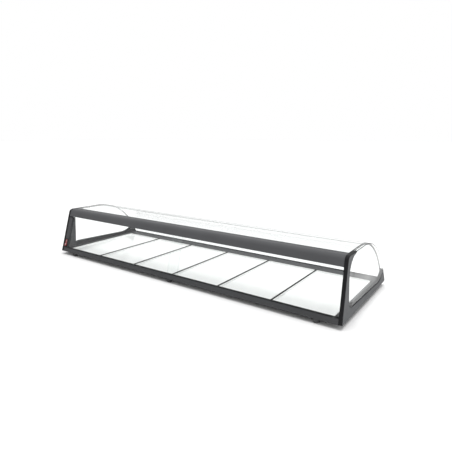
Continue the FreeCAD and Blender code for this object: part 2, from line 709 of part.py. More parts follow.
def tray(index):
    x = WELL_MIDDLE + (index - (TRAY_COUNT - 1) / 2) * PITCH
    y = WELL_FRONT + TRAY_GAP
    half = TRAY_WIDTH / 2
    outer = box(x - half, x + half, y, y + TRAY_LENGTH, TRAY_FOOT, TRAY_FOOT + TRAY_HEIGHT)
    outer = outer.makeFillet(TRAY_CORNER, upright_edges(outer))
    wall = TRAY_WALL
    inner = box(x - half + wall, x + half - wall, y + wall, y + TRAY_LENGTH - wall,
                TRAY_FOOT + wall, TRAY_FOOT + TRAY_HEIGHT + wall)
    inner = inner.makeFillet(TRAY_CORNER - wall, upright_edges(inner))
    floor = [e for e in inner.Edges if e.BoundBox.ZMax < TRAY_FOOT + 1.5 * wall]
    inner = inner.makeFillet(2 * wall, floor)
    return outer.cut(inner)


# ---------------------------------------------------------------- feet and fasteners
def foot_places():
    end = INNER - FOOT_INSET
    return [(x, y) for x in (-end, 0, end) for y in (FOOT_FRONT, DEPTH - FOOT_REAR)]


def feet():
    height = BASE - PAN_THICK
    shapes = []
    for x, y in foot_places():
        foot = Part.makeCone(FOOT_DIAMETER / 2 - 1, FOOT_DIAMETER / 2, height, vec(x, (y, 0)))
        foot = foot.cut(upright(x, y, 0, FOOT_RECESS, FOOT_RECESS_DEPTH))
        shapes.append(foot.cut(upright(x, y, 0, SCREW_SHANK + 2 * SCREW_CLEARANCE, height)))
    return Part.makeCompound(shapes)


def foot_screws():
    shapes = []
    for x, y in foot_places():
        shank = upright(x, y, FOOT_RECESS_DEPTH, SCREW_SHANK, BASE + SCREW_BITE - FOOT_RECESS_DEPTH)
        head = upright(x, y, FOOT_RECESS_DEPTH - SCREW_HEAD_HEIGHT, SCREW_HEAD, SCREW_HEAD_HEIGHT)
        shapes.append(head.fuse(shank).removeSplitter())
    return Part.makeCompound(shapes)


def stud_places():
    """Hidden studs that hold an end frame to the front rail, the rear rail and the beam."""
    return {"front": (FRONT_STUD[0], BASE + FRONT_STUD[1]),
            "rear": (DEPTH - REAR_STUD_SETBACK, BASE + REAR_STUD_HEIGHT),
            "beam": (CORNER_Y + BEAM_STUD_PAST_CORNER, TOP - BEAM_STUD_DROP)}


def stud(place, clearance=0.0):
    y, z = stud_places()[place]
    length = STUD_IN_RAIL + STUD_IN_FRAME
    return along_x(INNER - STUD_IN_RAIL, y, z, STUD_DIAMETER + 2 * clearance, length)


RIGHT_STUDS = ("front", "rear", "beam")
LEFT_STUDS = ("rear", "beam")


def frame_studs():
    right = [stud(place) for place in RIGHT_STUDS]
    left = [mirrored(stud(place)) for place in LEFT_STUDS]
    return Part.makeCompound(right + left)


def drilled(solid):
    """A rail, beam or end frame with the holes for the studs that enter it."""
    for place in RIGHT_STUDS:
        solid = solid.cut(stud(place, STUD_CLEARANCE))
    for place in LEFT_STUDS:
        solid = solid.cut(mirrored(stud(place, STUD_CLEARANCE)))
    return solid


def tapped(solid):
    """A rail with the holes that the foot screws bite into."""
    for x, y in foot_places():
        solid = solid.cut(upright(x, y, BASE, SCREW_SHANK + 2 * SCREW_CLEARANCE, SCREW_BITE))
    return solid


# ---------------------------------------------------------------- all nodes
def build():
    left_door_x = HOUSING_FACE + DOOR_END_GAP
    right_door_x = INNER - DOOR_END_GAP - DOOR_LENGTH
    y, z = inlet_y(), BASE + INLET_HEIGHT
    left_frame = drilled(mirrored(end_frame()))
    left_frame = left_frame.cut(along_x(-HALF, y, z, INLET_FLANGE, INLET_FLANGE_THICK))
    left_frame = left_frame.cut(along_x(-HALF, y, z, INLET_SLEEVE, END_THICK))
    nodes = {
        "end_frame_right": drilled(end_frame()),
        "end_frame_left": left_frame,
        "front_rail": tapped(drilled(front_rail())),
        "rear_rail": tapped(drilled(rear_rail())),
        "side_rail_right": side_rail(WELL_RIGHT, INNER, WELL_FRONT),
        "side_rail_left": side_rail(WELL_LEFT, -INNER, POST_REAR),
        "lower_door_track": lower_track(),
        "upper_door_track": upper_track(),
        "top_beam": drilled(top_beam()),
        "led_board": led_board(),
        "lamp_diffuser": lamp_diffuser(),
        "curved_glass": curved_glass(),
        "glass_front_seal": glass_front_seal(),
        "glass_rear_seal": glass_rear_seal(),
        "door_left": door(left_door_x, SLOT_ONE, left_door_x + FINGER_HOLE_INSET),
        "door_right": door(right_door_x, SLOT_TWO, right_door_x + DOOR_LENGTH - FINGER_HOLE_INSET),
        "door_glides_left": door_glides(left_door_x, SLOT_ONE),
        "door_glides_right": door_glides(right_door_x, SLOT_TWO),
        "control_housing": control_housing(),
        "switch_frame": switch_frame(),
        "switch_rocker": switch_rocker(),
        "switch_pin": switch_pin(),
        "switch_terminals": switch_terminals(),
        "thermostat": thermostat(),
        "terminal_block": terminal_block(),
        "wire_harness": wire_harness(),
        "inlet_bush": inlet_bush(),
        "bottom_pan": bottom_pan(),
        "insulation": insulation(),
        "heat_plate": heat_plate(),
        "overheat_cutoff": overheat_cutoff(),
        "feet": feet(),
        "foot_screws": foot_screws(),
        "frame_studs": frame_studs(),
    }
    pairs = {"end_trim": end_trim(), "end_panel": end_panel(), "end_gasket": end_gasket(),
             "glass_joint": glass_joint(), "lamp_holder": lamp_holder()}
    for name, solid in pairs.items():
        nodes[name + "_right"] = solid
        nodes[name + "_left"] = mirrored(solid)
    for index in range(HEATER_COUNT):
        nodes["heater_mat_%d" % (index + 1)] = heater_mat(index)
    for index in range(TRAY_COUNT - 1):
        nodes["divider_%d" % (index + 1)] = divider(index)
    for index in range(TRAY_COUNT):
        nodes["tray_%d" % (index + 1)] = tray(index)
    return nodes


os.makedirs("parts", exist_ok=True)
for name, shape in build().items():
    shape.exportStep("parts/%s.step" % name)
    print("%-20s solids %d valid %s volume %.0f" % (name, len(shape.Solids), shape.isValid(), shape.Volume))
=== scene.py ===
"""Finished pieces, finishes and studio for a countertop hot food display case.

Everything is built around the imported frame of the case, in metres, +Z up. X runs along the case,
the service side with the sliding doors faces -Y and the curved glass faces +Y. Outlines are drawn
in the YZ plane and drawn out along X.
"""

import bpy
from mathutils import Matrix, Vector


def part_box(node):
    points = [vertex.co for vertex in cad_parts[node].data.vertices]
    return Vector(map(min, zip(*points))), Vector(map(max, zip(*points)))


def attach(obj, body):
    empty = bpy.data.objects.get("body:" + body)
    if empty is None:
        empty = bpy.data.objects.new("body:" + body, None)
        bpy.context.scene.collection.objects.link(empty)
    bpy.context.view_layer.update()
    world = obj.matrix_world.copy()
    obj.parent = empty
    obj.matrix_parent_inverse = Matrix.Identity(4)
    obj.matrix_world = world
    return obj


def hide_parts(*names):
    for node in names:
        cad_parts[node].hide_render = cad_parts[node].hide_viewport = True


bl_info = {
    "name": "Hot food display case",
    "version": (1, 0, 0),
    "blender": (4, 5, 0),
    "location": "View3D > Sidebar > Display case",
    "description": "Builds the finished pieces of a countertop hot food display case",
    "category": "Add Mesh",
}

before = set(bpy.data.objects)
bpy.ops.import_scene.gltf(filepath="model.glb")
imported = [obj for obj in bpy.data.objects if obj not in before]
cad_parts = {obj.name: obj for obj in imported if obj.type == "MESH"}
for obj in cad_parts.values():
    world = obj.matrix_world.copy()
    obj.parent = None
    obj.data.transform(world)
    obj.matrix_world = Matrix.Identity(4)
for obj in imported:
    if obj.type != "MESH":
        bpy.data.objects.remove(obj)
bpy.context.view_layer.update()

import math

import bpy
from bpy.props import FloatProperty, FloatVectorProperty, PointerProperty
from mathutils import Vector

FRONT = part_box("end_trim_right")[0].y
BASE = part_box("end_frame_right")[0].z
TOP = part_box("curved_glass")[1].z
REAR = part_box("end_frame_right")[1].y
INNER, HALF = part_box("end_frame_right")[0].x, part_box("end_frame_right")[1].x
HOUSING_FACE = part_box("control_housing")[1].x
POST_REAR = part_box("control_housing")[1].y
TRIM_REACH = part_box("end_trim_right")[1].y
BEAM_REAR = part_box("glass_front_seal")[0].y
WELL_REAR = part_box("rear_rail")[0].y
LAMP_LOW, LAMP_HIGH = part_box("lamp_holder_right")
CASE_HEIGHT = TOP - BASE
TRAYS = sorted(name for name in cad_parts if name.startswith("tray_"))
DIVIDERS = sorted(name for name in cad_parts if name.startswith("divider_"))


# ---------------------------------------------------------------- sizes and colours a user may change
def size(name, description, default):
    return FloatProperty(name=name, description=description, default=default, min=0.0,
                         subtype="DISTANCE", unit="LENGTH", precision=4)


def turn(name, description, degrees):
    return FloatProperty(name=name, description=description, default=math.radians(degrees),
                         subtype="ANGLE", unit="ROTATION")


def tint(name, description, default):
    return FloatVectorProperty(name=name, description=description, default=default, min=0.0, max=1.0,
                               size=3, subtype="COLOR")


class CaseProfile(bpy.types.PropertyGroup):
    """The outlines of the case, seen from its end."""

    lean: turn("Lean", "How far the service face leans back from upright", 13.9)
    corner_radius: size("Top corner", "Radius of the rounded front top corner", 0.016)
    roof_slope: turn("Roof slope", "Slope of the lower, straight part of the glass", 63.5)
    glass_tail: size("Glass tail", "Length of the straight lower part of the glass", 0.039)
    glass_thickness: size("Glass thickness", "Thickness of the curved glass", 0.005)
    glass_seat: size("Glass seat", "Height of the glass's lower edge above the base", 0.008)
    nose_height: size("Nose height", "Height of the blunt rear edge of the base", 0.006)
    trim_thickness: size("Trim thickness", "Thickness of the black edge trim", 0.0025)
    arm_tip: size("Arm tip", "Thickness of the end frame's arm at its tip", 0.0015)
    arm_setback: size("Arm setback", "How far the arm stops short of the trim", 0.005)
    arm_root: size("Arm root", "Thickness of the arm where its arc begins", 0.0035)
    arm_radius: size("Arm arc", "Radius of the arc between post and arm", 0.057)
    arm_sweep: turn("Arm sweep", "Angle of the arc between post and arm", 70)
    foot_radius: size("Post foot", "Radius between the post and the lower rail", 0.025)
    rail_front: size("Rail front", "Height of the end frame's lower rail at the post", 0.0223)
    rail_rear: size("Rail rear", "Height of the lower rail where it turns up", 0.015)
    upstand: size("Upstand", "Length of the rear upstand", 0.081)
    gasket: size("Gasket", "Height of the strip under the end panels", 0.0025)
    setback: size("Face setback", "How far the service face stands behind the trim", 0.0004)
    skin: size("Beam skin", "Thickness of the beam in front of the door track", 0.002)
    slot: size("Track slot", "Width of a door slot", 0.005)
    slot_wall: size("Slot wall", "Wall beside a door slot", 0.0015)
    slot_floor: size("Slot floor", "Floor of a door track", 0.002)
    track_base: size("Track base", "Height of the lower track's underside up the lean", 0.008)
    track_top: size("Track top", "Height of the lower track's top up the lean", 0.016)
    lip: size("Rail lip", "Thickness of the front rail's lip", 0.0016)
    lip_top: size("Lip top", "Height of the front rail's lip up the lean", 0.0144)
    rail_depth: size("Rail depth", "Depth of the front rail", 0.020)
    rail_top: size("Rail top", "Height of the rear rail above the base", 0.0095)
    beam_drop: size("Beam face", "Height of the beam's face below the top, up the lean", 0.0278)
    beam_rear_drop: size("Beam rear", "Height of the beam's rear edge below the top", 0.026)
    shelf: size("Glass shelf", "Depth of the shelf that carries the curved glass", 0.014)
    shelf_thickness: size("Shelf thickness", "Thickness of that shelf", 0.002)
    glass_bed: size("Glass bed", "Seal thickness under the curved glass", 0.001)
    glass_gap: size("Glass gap", "Seal thickness in front of the curved glass", 0.0012)
    seal_thickness: size("Seal", "Seal thickness under the glass's lower edge", 0.002)
    seal_leg: size("Seal leg", "Thickness of the seal's inner leg", 0.0012)
    seal_top: size("Seal top", "Height of the seal's inner leg above the base", 0.0115)
    track_rise: size("Track rise", "How far the upper track sits above the beam's lower edge", 0.001)
    track_depth: size("Track depth", "Height of the upper track", 0.017)
    door_thickness: size("Door thickness", "Thickness of a sliding door", 0.004)
    door_run: size("Door run", "Gap under a door in its slot", 0.0013)
    door_grip: size("Door grip", "How far a door reaches into the upper track", 0.010)
    door_corner: size("Door corner", "Corner radius of a door", 0.003)
    finger_hole: size("Finger hole", "Diameter of a door's finger hole", 0.024)
    finger_inset: size("Finger inset", "Distance of the finger hole from the door's end", 0.034)
    tray_corner: size("Tray corner", "Outer corner radius of a tray", 0.007)
    tray_rim: size("Tray rim", "Width of a tray's rim", 0.0024)
    tray_depth: size("Tray depth", "Depth of a tray's hollow", 0.0044)

    def service(self, up, behind):
        """A point up the leaning service face and behind it."""
        return (FRONT + up * math.sin(self.lean) + behind * math.cos(self.lean),
                BASE + up * math.cos(self.lean) - behind * math.sin(self.lean))

    @property
    def corner_y(self):
        return FRONT + CASE_HEIGHT * math.tan(self.lean)

    @property
    def corner_centre(self):
        reach = self.corner_radius * math.tan((math.pi / 2 - self.lean) / 2)
        return (self.corner_y + reach, TOP - self.corner_radius)

    @property
    def corner_turn(self):
        return math.pi / 2 - self.lean

    def corner(self, offset, start):
        """The foot (start) or the head of the rounded top corner, offset inwards."""
        angle = math.pi - self.lean if start else math.pi / 2
        return turned(self.corner_centre, self.corner_radius - offset, angle)

    @property
    def roof_radius(self):
        drop = CASE_HEIGHT - self.nose_height - self.glass_tail * math.sin(self.roof_slope)
        return drop / (1 - math.cos(self.roof_slope))

    @property
    def roof_centre(self):
        run = self.glass_tail * math.cos(self.roof_slope) + self.roof_radius * math.sin(self.roof_slope)
        return (REAR - run, TOP - self.roof_radius)

    def roof_end(self, offset):
        return turned(self.roof_centre, self.roof_radius - offset, math.pi / 2 - self.roof_slope)

    def tail(self, down, inside):
        """A point down the straight lower part of the glass and inside its outer face."""
        y, z = self.roof_end(0)
        return (y + down * math.cos(self.roof_slope) - inside * math.sin(self.roof_slope),
                z - down * math.sin(self.roof_slope) - inside * math.cos(self.roof_slope))

    def tail_at(self, height, inside):
        """How far down the tail the line inside it reaches a height above the base."""
        z = self.roof_end(0)[1] - inside * math.cos(self.roof_slope)
        return (z - BASE - height) / math.sin(self.roof_slope)

    @property
    def beam_bottom(self):
        return CASE_HEIGHT / math.cos(self.lean) - self.beam_drop

    @property
    def track_front(self):
        return self.setback + self.skin

    @property
    def slots(self):
        """The front of each door slot, behind the service face."""
        first = self.track_front + self.slot_wall
        return (first, first + self.slot + self.slot_wall)

    @property
    def track_rear(self):
        return self.slots[1] + self.slot + self.slot_wall


class CaseSwitch(bpy.types.PropertyGroup):
    """The rocker switch in the control housing."""

    height: size("Switch height", "Height of the switch up the lean", 0.033)
    pivot_depth: size("Pivot depth", "Depth of the pivot behind the housing's face", 0.006)
    half_length: size("Half length", "Half the rocker's length", 0.0129)
    edge: size("Edge reach", "How far the rocker's ends stand in front of the pivot", 0.0086)
    valley: size("Valley reach", "How far the rocker's middle stands in front of the pivot", 0.0068)
    back: size("Back reach", "How far the rocker reaches behind the pivot", 0.002)
    tilt: turn("Tilt", "How far the rocker is tilted when it is on", 8.0)
    mark: size("Mark", "Size of the two marks on the rocker", 0.0034)


class CaseFinish(bpy.types.PropertyGroup):
    """The colours of the case."""

    frame_grey: tint("End frames", "Paint of the end frames", (0.094, 0.097, 0.101))
    # This grey is also painted shade on the inner faces of the end frames.
    rail_grey: tint("Rails", "Paint of the rails and the housing", (0.060, 0.061, 0.064))
    beam_grey: tint("Beam", "Paint of the top beam", (0.082, 0.083, 0.087))
    trim_black: tint("Trim", "Moulded black trim", (0.014, 0.014, 0.015))
    seal_black: tint("Seals", "Rubber of the seals", (0.010, 0.010, 0.011))
    foot_grey: tint("Feet", "Rubber of the feet", (0.075, 0.075, 0.078))
    joint_grey: tint("Joints", "Silicone of the glass joints", (0.02, 0.021, 0.022))
    tray_white: tint("Trays", "Glaze of the trays", (0.93, 0.93, 0.925))
    switch_red: tint("Switch", "Rocker of the switch", (0.19, 0.008, 0.008))
    sheet_clear: tint("Clear sheet", "What the clear sheets let through", (0.985, 0.992, 0.99))


class CaseStage(bpy.types.PropertyGroup):
    """The camera, the lights and the floor."""

    camera_place: FloatVectorProperty(name="Camera", description="Where the camera stands", size=3,
                                      default=(0.8921, -1.1263, 0.4634), subtype="TRANSLATION",
                                      unit="LENGTH")
    camera_dip: turn("Dip", "How far the camera looks down", 4.0)
    camera_heading: turn("Heading", "How far the camera is turned from the case's depth", 35.3)
    camera_lens: FloatProperty(name="Lens", description="Focal length", default=32.85,
                               subtype="DISTANCE_CAMERA", unit="CAMERA")
    camera_shift: FloatProperty(name="Shift", description="Vertical shift of the view", default=-0.135)
    sky: FloatProperty(name="Sky", description="How much the white surroundings light the case",
                       default=0.7)
    overhead: FloatProperty(name="Overhead", description="Strength of the overhead light", default=2.2)
    overhead_spread: turn("Overhead spread", "How wide the overhead light is", 50)
    side: FloatProperty(name="Side", description="Power of the side softbox", default=5.0,
                        subtype="POWER", unit="POWER")
    floor_white: tint("Floor", "Colour of the floor", (0.9, 0.9, 0.9))


# ---------------------------------------------------------------- drawing and shaping
ARC_STEP = math.radians(2.5)
SEED = 0.001
SAME = 1e-6
MERGE = 5e-6
FLAT = math.radians(0.6)
SHARP = math.radians(30)
SMOOTH = math.radians(46)
FACING, FACING_UP = 0.99, 0.9

# The rounding of each kind of piece's edges.
FRAME_EASE = 0.0008
SOFT_EASE = 0.0007
BEAM_EASE = 0.0006
RAIL_EASE = 0.0005
BEZEL_EASE = 0.0004
FINE_EASE = 0.0003
MARK_EASE = 0.00005
SHEET_ARRIS = 0.0005
PANEL_ARRIS, PANEL_BORDER = 0.001, 0.0014

SIDES = (("left", -1), ("right", 1))


def turned(centre, radius, angle):
    return (centre[0] + radius * math.cos(angle), centre[1] + radius * math.sin(angle))


def only(piece):
    """Makes a piece the only one that operators act on."""
    bpy.ops.object.select_all(action="DESELECT")
    piece.select_set(True)
    bpy.context.view_layer.objects.active = piece


def settle_place(piece):
    only(piece)
    bpy.ops.object.transform_apply(location=True, rotation=True, scale=True)


class Outline:
    """An outline in the YZ plane, drawn from one vertex by extrude and spin, then drawn out along X."""

    def __init__(self, name, x, start):
        bpy.ops.object.select_all(action="DESELECT")
        bpy.ops.mesh.primitive_plane_add(size=SEED, location=(x, *start))
        self.piece = bpy.context.object
        self.piece.name = self.piece.data.name = name
        bpy.ops.object.mode_set(mode="EDIT")
        bpy.ops.mesh.select_mode(type="VERT")
        bpy.ops.mesh.select_all(action="SELECT")
        bpy.ops.mesh.merge(type="CENTER")
        self.x = x
        self.first = self.here = start

    def line(self, *points):
        for y, z in points:
            step = (0, y - self.here[0], z - self.here[1])
            bpy.ops.mesh.extrude_region_move(TRANSFORM_OT_translate={"value": step})
            self.here = (y, z)
        return self

    def arc(self, centre, angle):
        """Turns about a centre; a positive angle turns +Y towards +Z."""
        steps = max(3, math.ceil(abs(angle) / ARC_STEP))
        bpy.ops.mesh.spin(steps=steps, angle=-angle, center=(self.x, *centre), axis=(1, 0, 0))
        y, z = self.here[0] - centre[0], self.here[1] - centre[1]
        start = math.atan2(z, y)
        self.here = turned(centre, math.hypot(y, z), start + angle)
        return self

    def prism(self, x_end):
        self.line(self.first)
        bpy.ops.mesh.select_all(action="SELECT")
        bpy.ops.mesh.remove_doubles(threshold=SAME)
        bpy.ops.mesh.edge_face_add()
        bpy.ops.mesh.extrude_region_move(TRANSFORM_OT_translate={"value": (x_end - self.x, 0, 0)})
        bpy.ops.mesh.select_all(action="SELECT")
        bpy.ops.mesh.normals_make_consistent(inside=False)
        bpy.ops.object.mode_set(mode="OBJECT")
        settle_place(self.piece)
        return self.piece


def tangent_arc(start, slope, end):
    """The centre and the angle of the arc that leaves start at a slope and ends at end."""
    dy, dz = end[0] - start[0], end[1] - start[1]
    normal = (-math.sin(slope), math.cos(slope))
    radius = (dy * dy + dz * dz) / (2 * (dy * normal[0] + dz * normal[1]))
    centre = (start[0] + radius * normal[0], start[1] + radius * normal[1])
    return centre, 2 * math.asin(math.hypot(dy, dz) / (2 * radius))


def block(name, low, high):
    middle = [(a + b) / 2 for a, b in zip(low, high)]
    extent = [b - a for a, b in zip(low, high)]
    bpy.ops.object.select_all(action="DESELECT")
    bpy.ops.mesh.primitive_cube_add(size=1, location=middle, scale=extent)
    piece = bpy.context.object
    piece.name = piece.data.name = name
    settle_place(piece)
    return piece


def barrel(name, place, radius, depth, rotation=(0, 0, 0)):
    bpy.ops.object.select_all(action="DESELECT")
    bpy.ops.mesh.primitive_cylinder_add(vertices=64, radius=radius, depth=depth, location=place,
                                        rotation=rotation)
    piece = bpy.context.object
    piece.name = piece.data.name = name
    settle_place(piece)
    return piece


def pick(piece, kind, test):
    """Opens a piece for editing with the faces or edges selected that pass the test.

    A face is tested by its centre and normal, an edge by its two ends. The select mode is set before
    editing starts, because vertex mode would spread the selection to a whole end face.
    """
    only(piece)
    mesh = piece.data
    for group in (mesh.vertices, mesh.edges, mesh.polygons):
        group.foreach_set("select", [False] * len(group))
    if kind == "FACE":
        for face in mesh.polygons:
            face.select = test(face.center, face.normal)
    else:
        for edge in mesh.edges:
            edge.select = test(*(mesh.vertices[i].co for i in edge.vertices))
    bpy.context.tool_settings.mesh_select_mode = (False, kind == "EDGE", kind == "FACE")
    bpy.ops.object.mode_set(mode="EDIT")


def close_piece():
    bpy.ops.object.mode_set(mode="OBJECT")


def push(*step):
    bpy.ops.mesh.extrude_region_move(TRANSFORM_OT_translate={"value": step})


def modify(piece, kind, **settings):
    """Adds a modifier and applies it."""
    only(piece)
    modifier = piece.modifiers.new(kind.title(), kind)
    for name, value in settings.items():
        setattr(modifier, name, value)
    bpy.ops.object.modifier_apply(modifier=modifier.name)
    return piece


def cut(piece, cutter):
    modify(piece, "BOOLEAN", operation="DIFFERENCE", solver="EXACT", object=cutter)
    only(cutter)
    bpy.ops.object.delete()
    return piece


def ease(piece, width, segments=2, sheet=None, arris=None):
    """Rounds every sharp edge, a sheet's in its own arris finish, and shades the piece evenly."""
    if sheet:
        piece.data.materials.append(finish(sheet))
        piece.data.materials.append(finish(arris))
    modify(piece, "BEVEL", width=width, segments=segments, limit_method="ANGLE",
           angle_limit=SHARP, miter_outer="MITER_ARC", material=1 if sheet else -1)
    only(piece)
    bpy.ops.object.shade_smooth_by_angle(angle=SMOOTH)
    return modify(piece, "WEIGHTED_NORMAL", keep_sharp=True, weight=80)


def copy_of_node(name, node):
    """A copy of a frame node, merged to whole faces so that its edges can be rounded."""
    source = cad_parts[node]
    piece = bpy.data.objects.new(name, source.data.copy())
    bpy.context.scene.collection.objects.link(piece)
    piece.data.name = name
    piece.data.materials.clear()
    only(piece)
    bpy.ops.object.mode_set(mode="EDIT")
    bpy.ops.mesh.select_all(action="SELECT")
    bpy.ops.mesh.customdata_custom_splitnormals_clear()
    bpy.ops.mesh.remove_doubles(threshold=MERGE)
    bpy.ops.mesh.dissolve_limited(angle_limit=FLAT)
    close_piece()
    return piece


def copied(piece, name, offset):
    only(piece)
    bpy.ops.object.duplicate(linked=False)
    twin = bpy.context.object
    twin.name = twin.data.name = name
    bpy.ops.transform.translate(value=offset)
    settle_place(twin)
    return twin


def copies_at(piece, prefix, nodes):
    """The piece, made for the first node, and a copy of it at each of the others."""
    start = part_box(nodes[0])[0]
    return [piece] + [copied(piece, prefix + node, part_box(node)[0] - start) for node in nodes[1:]]


def frame_face(piece, x, width):
    """Rings the face at x with a border in the arris finish, where the sheet's edge shows through."""
    pick(piece, "FACE", lambda centre, normal: abs(normal.x) > FACING and abs(centre.x - x) < SAME)
    bpy.ops.mesh.inset(thickness=width)
    close_piece()
    for face in piece.data.polygons:
        if abs(face.center.x - x) < SAME and not face.select:
            face.material_index = 1
    return piece


def finish_piece(piece, body, slot, nodes, *materials):
    """Gives a piece its finishes and its body, and hides the frame nodes it stands for; the slot is not
    used.
    """
    for material in materials:
        piece.data.materials.append(material)
    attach(piece, body)
    if nodes:
        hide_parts(*nodes)
    return piece


def complete(piece, width, slot, node, material, body="case", segments=2):
    """Rounds a piece's edges, then finishes it as the frame node that it stands for, if any."""
    ease(piece, width, segments)
    return finish_piece(piece, body, slot, [node] if node else [], finish(material))


# ---------------------------------------------------------------- finishes
def new_finish(name):
    """A new named material, its node tree and its main shader."""
    material = bpy.data.materials.new(name)
    material.use_nodes = True
    return material, material.node_tree, material.node_tree.nodes["Principled BSDF"]


def feed(tree, node, **inputs):
    """Sets a node's inputs by name, or links them to a socket."""
    for name, value in inputs.items():
        socket = node.inputs[name.replace("_", " ")]
        if isinstance(value, bpy.types.NodeSocket):
            tree.links.new(value, socket)
        else:
            socket.default_value = value
    return node


def add(tree, kind, **inputs):
    """A new shader node with its inputs fed."""
    return feed(tree, tree.nodes.new(kind), **inputs)


def show_mixed(tree, factor, first, second):
    """Sends a mix of two shaders to the material's output."""
    mix = add(tree, "ShaderNodeMixShader", Fac=factor)
    tree.links.new(first.outputs["BSDF"], mix.inputs[1])
    tree.links.new(second.outputs["BSDF"], mix.inputs[2])
    feed(tree, tree.nodes["Material Output"], Surface=mix.outputs["Shader"])


def place_of(tree, stretch=(1, 1, 1)):
    """The piece's own place, stretched along its axes."""
    where = add(tree, "ShaderNodeTexCoord").outputs["Object"]
    return add(tree, "ShaderNodeMapping", Vector=where, Scale=stretch).outputs["Vector"]


def grain(tree, where, scale, detail=2.0, roughness=0.5):
    return add(tree, "ShaderNodeTexNoise", Vector=where, Scale=scale, Detail=detail,
               Roughness=roughness).outputs["Fac"]


def between(tree, factor, low, high):
    """A value that runs from low to high with a noise's usual range."""
    return add(tree, "ShaderNodeMapRange", Value=factor, From_Min=0.3, From_Max=0.7, To_Min=low,
               To_Max=high).outputs["Result"]


def blend_colours(tree, factor, first, second):
    node = tree.nodes.new("ShaderNodeMix")
    node.data_type = "RGBA"
    for name, value in (("Factor_Float", factor), ("A_Color", first), ("B_Color", second)):
        socket = next(s for s in node.inputs if s.identifier == name)
        if isinstance(value, bpy.types.NodeSocket):
            tree.links.new(value, socket)
        else:
            socket.default_value = value if name == "Factor_Float" else (*value[:3], 1.0)
    return next(s for s in node.outputs if s.identifier == "Result_Color")


def dent(tree, height, strength, depth, under=None):
    inputs = {"Height": height, "Strength": strength, "Distance": depth}
    if under is not None:
        inputs["Normal"] = under
    return add(tree, "ShaderNodeBump", **inputs).outputs["Normal"]


def scaled(colour, factor):
    return tuple(min(1.0, c * factor) for c in colour[:3])


def surface(name, colour, roughness, patch, fine, depth, drift=0.12, stretch=(1, 1, 1), scuff=0.06,
            **shader):
    """A solid finish: drifting colour and gloss, and a fine grain in relief."""
    material, tree, main = new_finish(name)
    where = place_of(tree, stretch)
    slow = grain(tree, where, patch, 3.0)
    quick = grain(tree, where, fine, 2.0)
    tone = between(tree, slow, 0.0, 1.0)
    colours = blend_colours(tree, tone, scaled(colour, 1 - drift), scaled(colour, 1 + drift))
    gloss = between(tree, grain(tree, where, patch * 3.3, 4.0, 0.6), roughness - scuff, roughness + scuff)
    feed(tree, main, Base_Color=colours, Roughness=gloss, Normal=dent(tree, quick, 0.35, depth), **shader)
    return material


def clear_sheet(name, colour, smear, index):
    """A clear sheet that lets lamps through, mirrors by angle and carries faint wiping marks."""
    material, tree, main = new_finish(name)
    where = place_of(tree, (1, 3, 3))
    marks = grain(tree, where, 9.0, 5.0, 0.65)
    tree.nodes.remove(main)
    rough = between(tree, marks, 0.015, 0.015 + smear)
    glancing = add(tree, "ShaderNodeLayerWeight", Blend=0.5).outputs["Facing"]
    deep = add(tree, "ShaderNodeMapRange", Value=glancing, From_Min=0.84, From_Max=1.0).outputs["Result"]
    mirror = add(tree, "ShaderNodeBsdfGlossy", Roughness=rough,
                 Color=blend_colours(tree, deep, (1, 1, 1), (0.5, 0.52, 0.52)))
    through = add(tree, "ShaderNodeBsdfTransparent",
                  Color=blend_colours(tree, deep, colour, (0.4, 0.43, 0.42)))
    angle = add(tree, "ShaderNodeFresnel", IOR=index).outputs["Fac"]
    inside = add(tree, "ShaderNodeNewGeometry").outputs["Backfacing"]
    outer_only = add(tree, "ShaderNodeMapRange", Value=inside, To_Min=angle, To_Max=0.0)
    show_mixed(tree, outer_only.outputs["Result"], through, mirror)
    return material


def sheet_edge(name, colour, share_seen):
    """The sawn and polished edge of a clear sheet, which catches the light and dims what is behind."""
    material, tree, main = new_finish(name)
    where = place_of(tree)
    marks = grain(tree, where, 700.0, 2.0)
    colours = blend_colours(tree, between(tree, marks, 0, 1), scaled(colour, 0.85), scaled(colour, 1.15))
    feed(tree, main, Base_Color=colours, Roughness=0.3, Specular_IOR_Level=0.2)
    through = add(tree, "ShaderNodeBsdfTransparent", Color=(0.9, 0.93, 0.92, 1))
    show_mixed(tree, between(tree, marks, share_seen * 0.92, share_seen), through, main)
    return material


def powder_coat(name, colour):
    return surface(name, colour, 0.5, 7.0, 1300.0, 0.00012, drift=0.07, scuff=0.05, IOR=1.2)


def moulded_plastic(name, colour, roughness=0.5):
    return surface(name, colour, roughness, 16.0, 2600.0, 0.00006, drift=0.15, scuff=0.06, IOR=1.16)


def soft_rubber(name, colour):
    return surface(name, colour, 0.75, 40.0, 1900.0, 0.00010, drift=0.2, scuff=0.08, IOR=1.15)


def brushed_metal(name, colour, stretch, roughness=0.3):
    return surface(name, colour, roughness, 9.0, 42.0, 0.00003, drift=0.06, stretch=stretch, scuff=0.08,
                   Metallic=1.0, Anisotropic=0.5)


def glazed_white(name, colour):
    """Glossy white glaze with faint waviness, tiny specks and knife wear."""
    material, tree, main = new_finish(name)
    where = place_of(tree)
    specks = add(tree, "ShaderNodeTexVoronoi", Vector=where, Scale=260.0).outputs["Distance"]
    rare = add(tree, "ShaderNodeMapRange", Value=specks, From_Min=0.03, From_Max=0.07, To_Min=1.0,
               To_Max=0.0).outputs["Result"]
    wave = grain(tree, where, 30.0, 3.0)
    base = blend_colours(tree, between(tree, wave, 0, 1), scaled(colour, 0.975), scaled(colour, 1.02))
    speckled = blend_colours(tree, rare, base, scaled(colour, 0.86))
    wear = grain(tree, place_of(tree, (1, 14, 1)), 55.0, 4.0, 0.7)
    feed(tree, main, Base_Color=speckled, Roughness=between(tree, wear, 0.1, 0.24),
         Normal=dent(tree, wave, 0.25, 0.0002), Coat_Weight=0.35, Coat_Roughness=0.06)
    return material


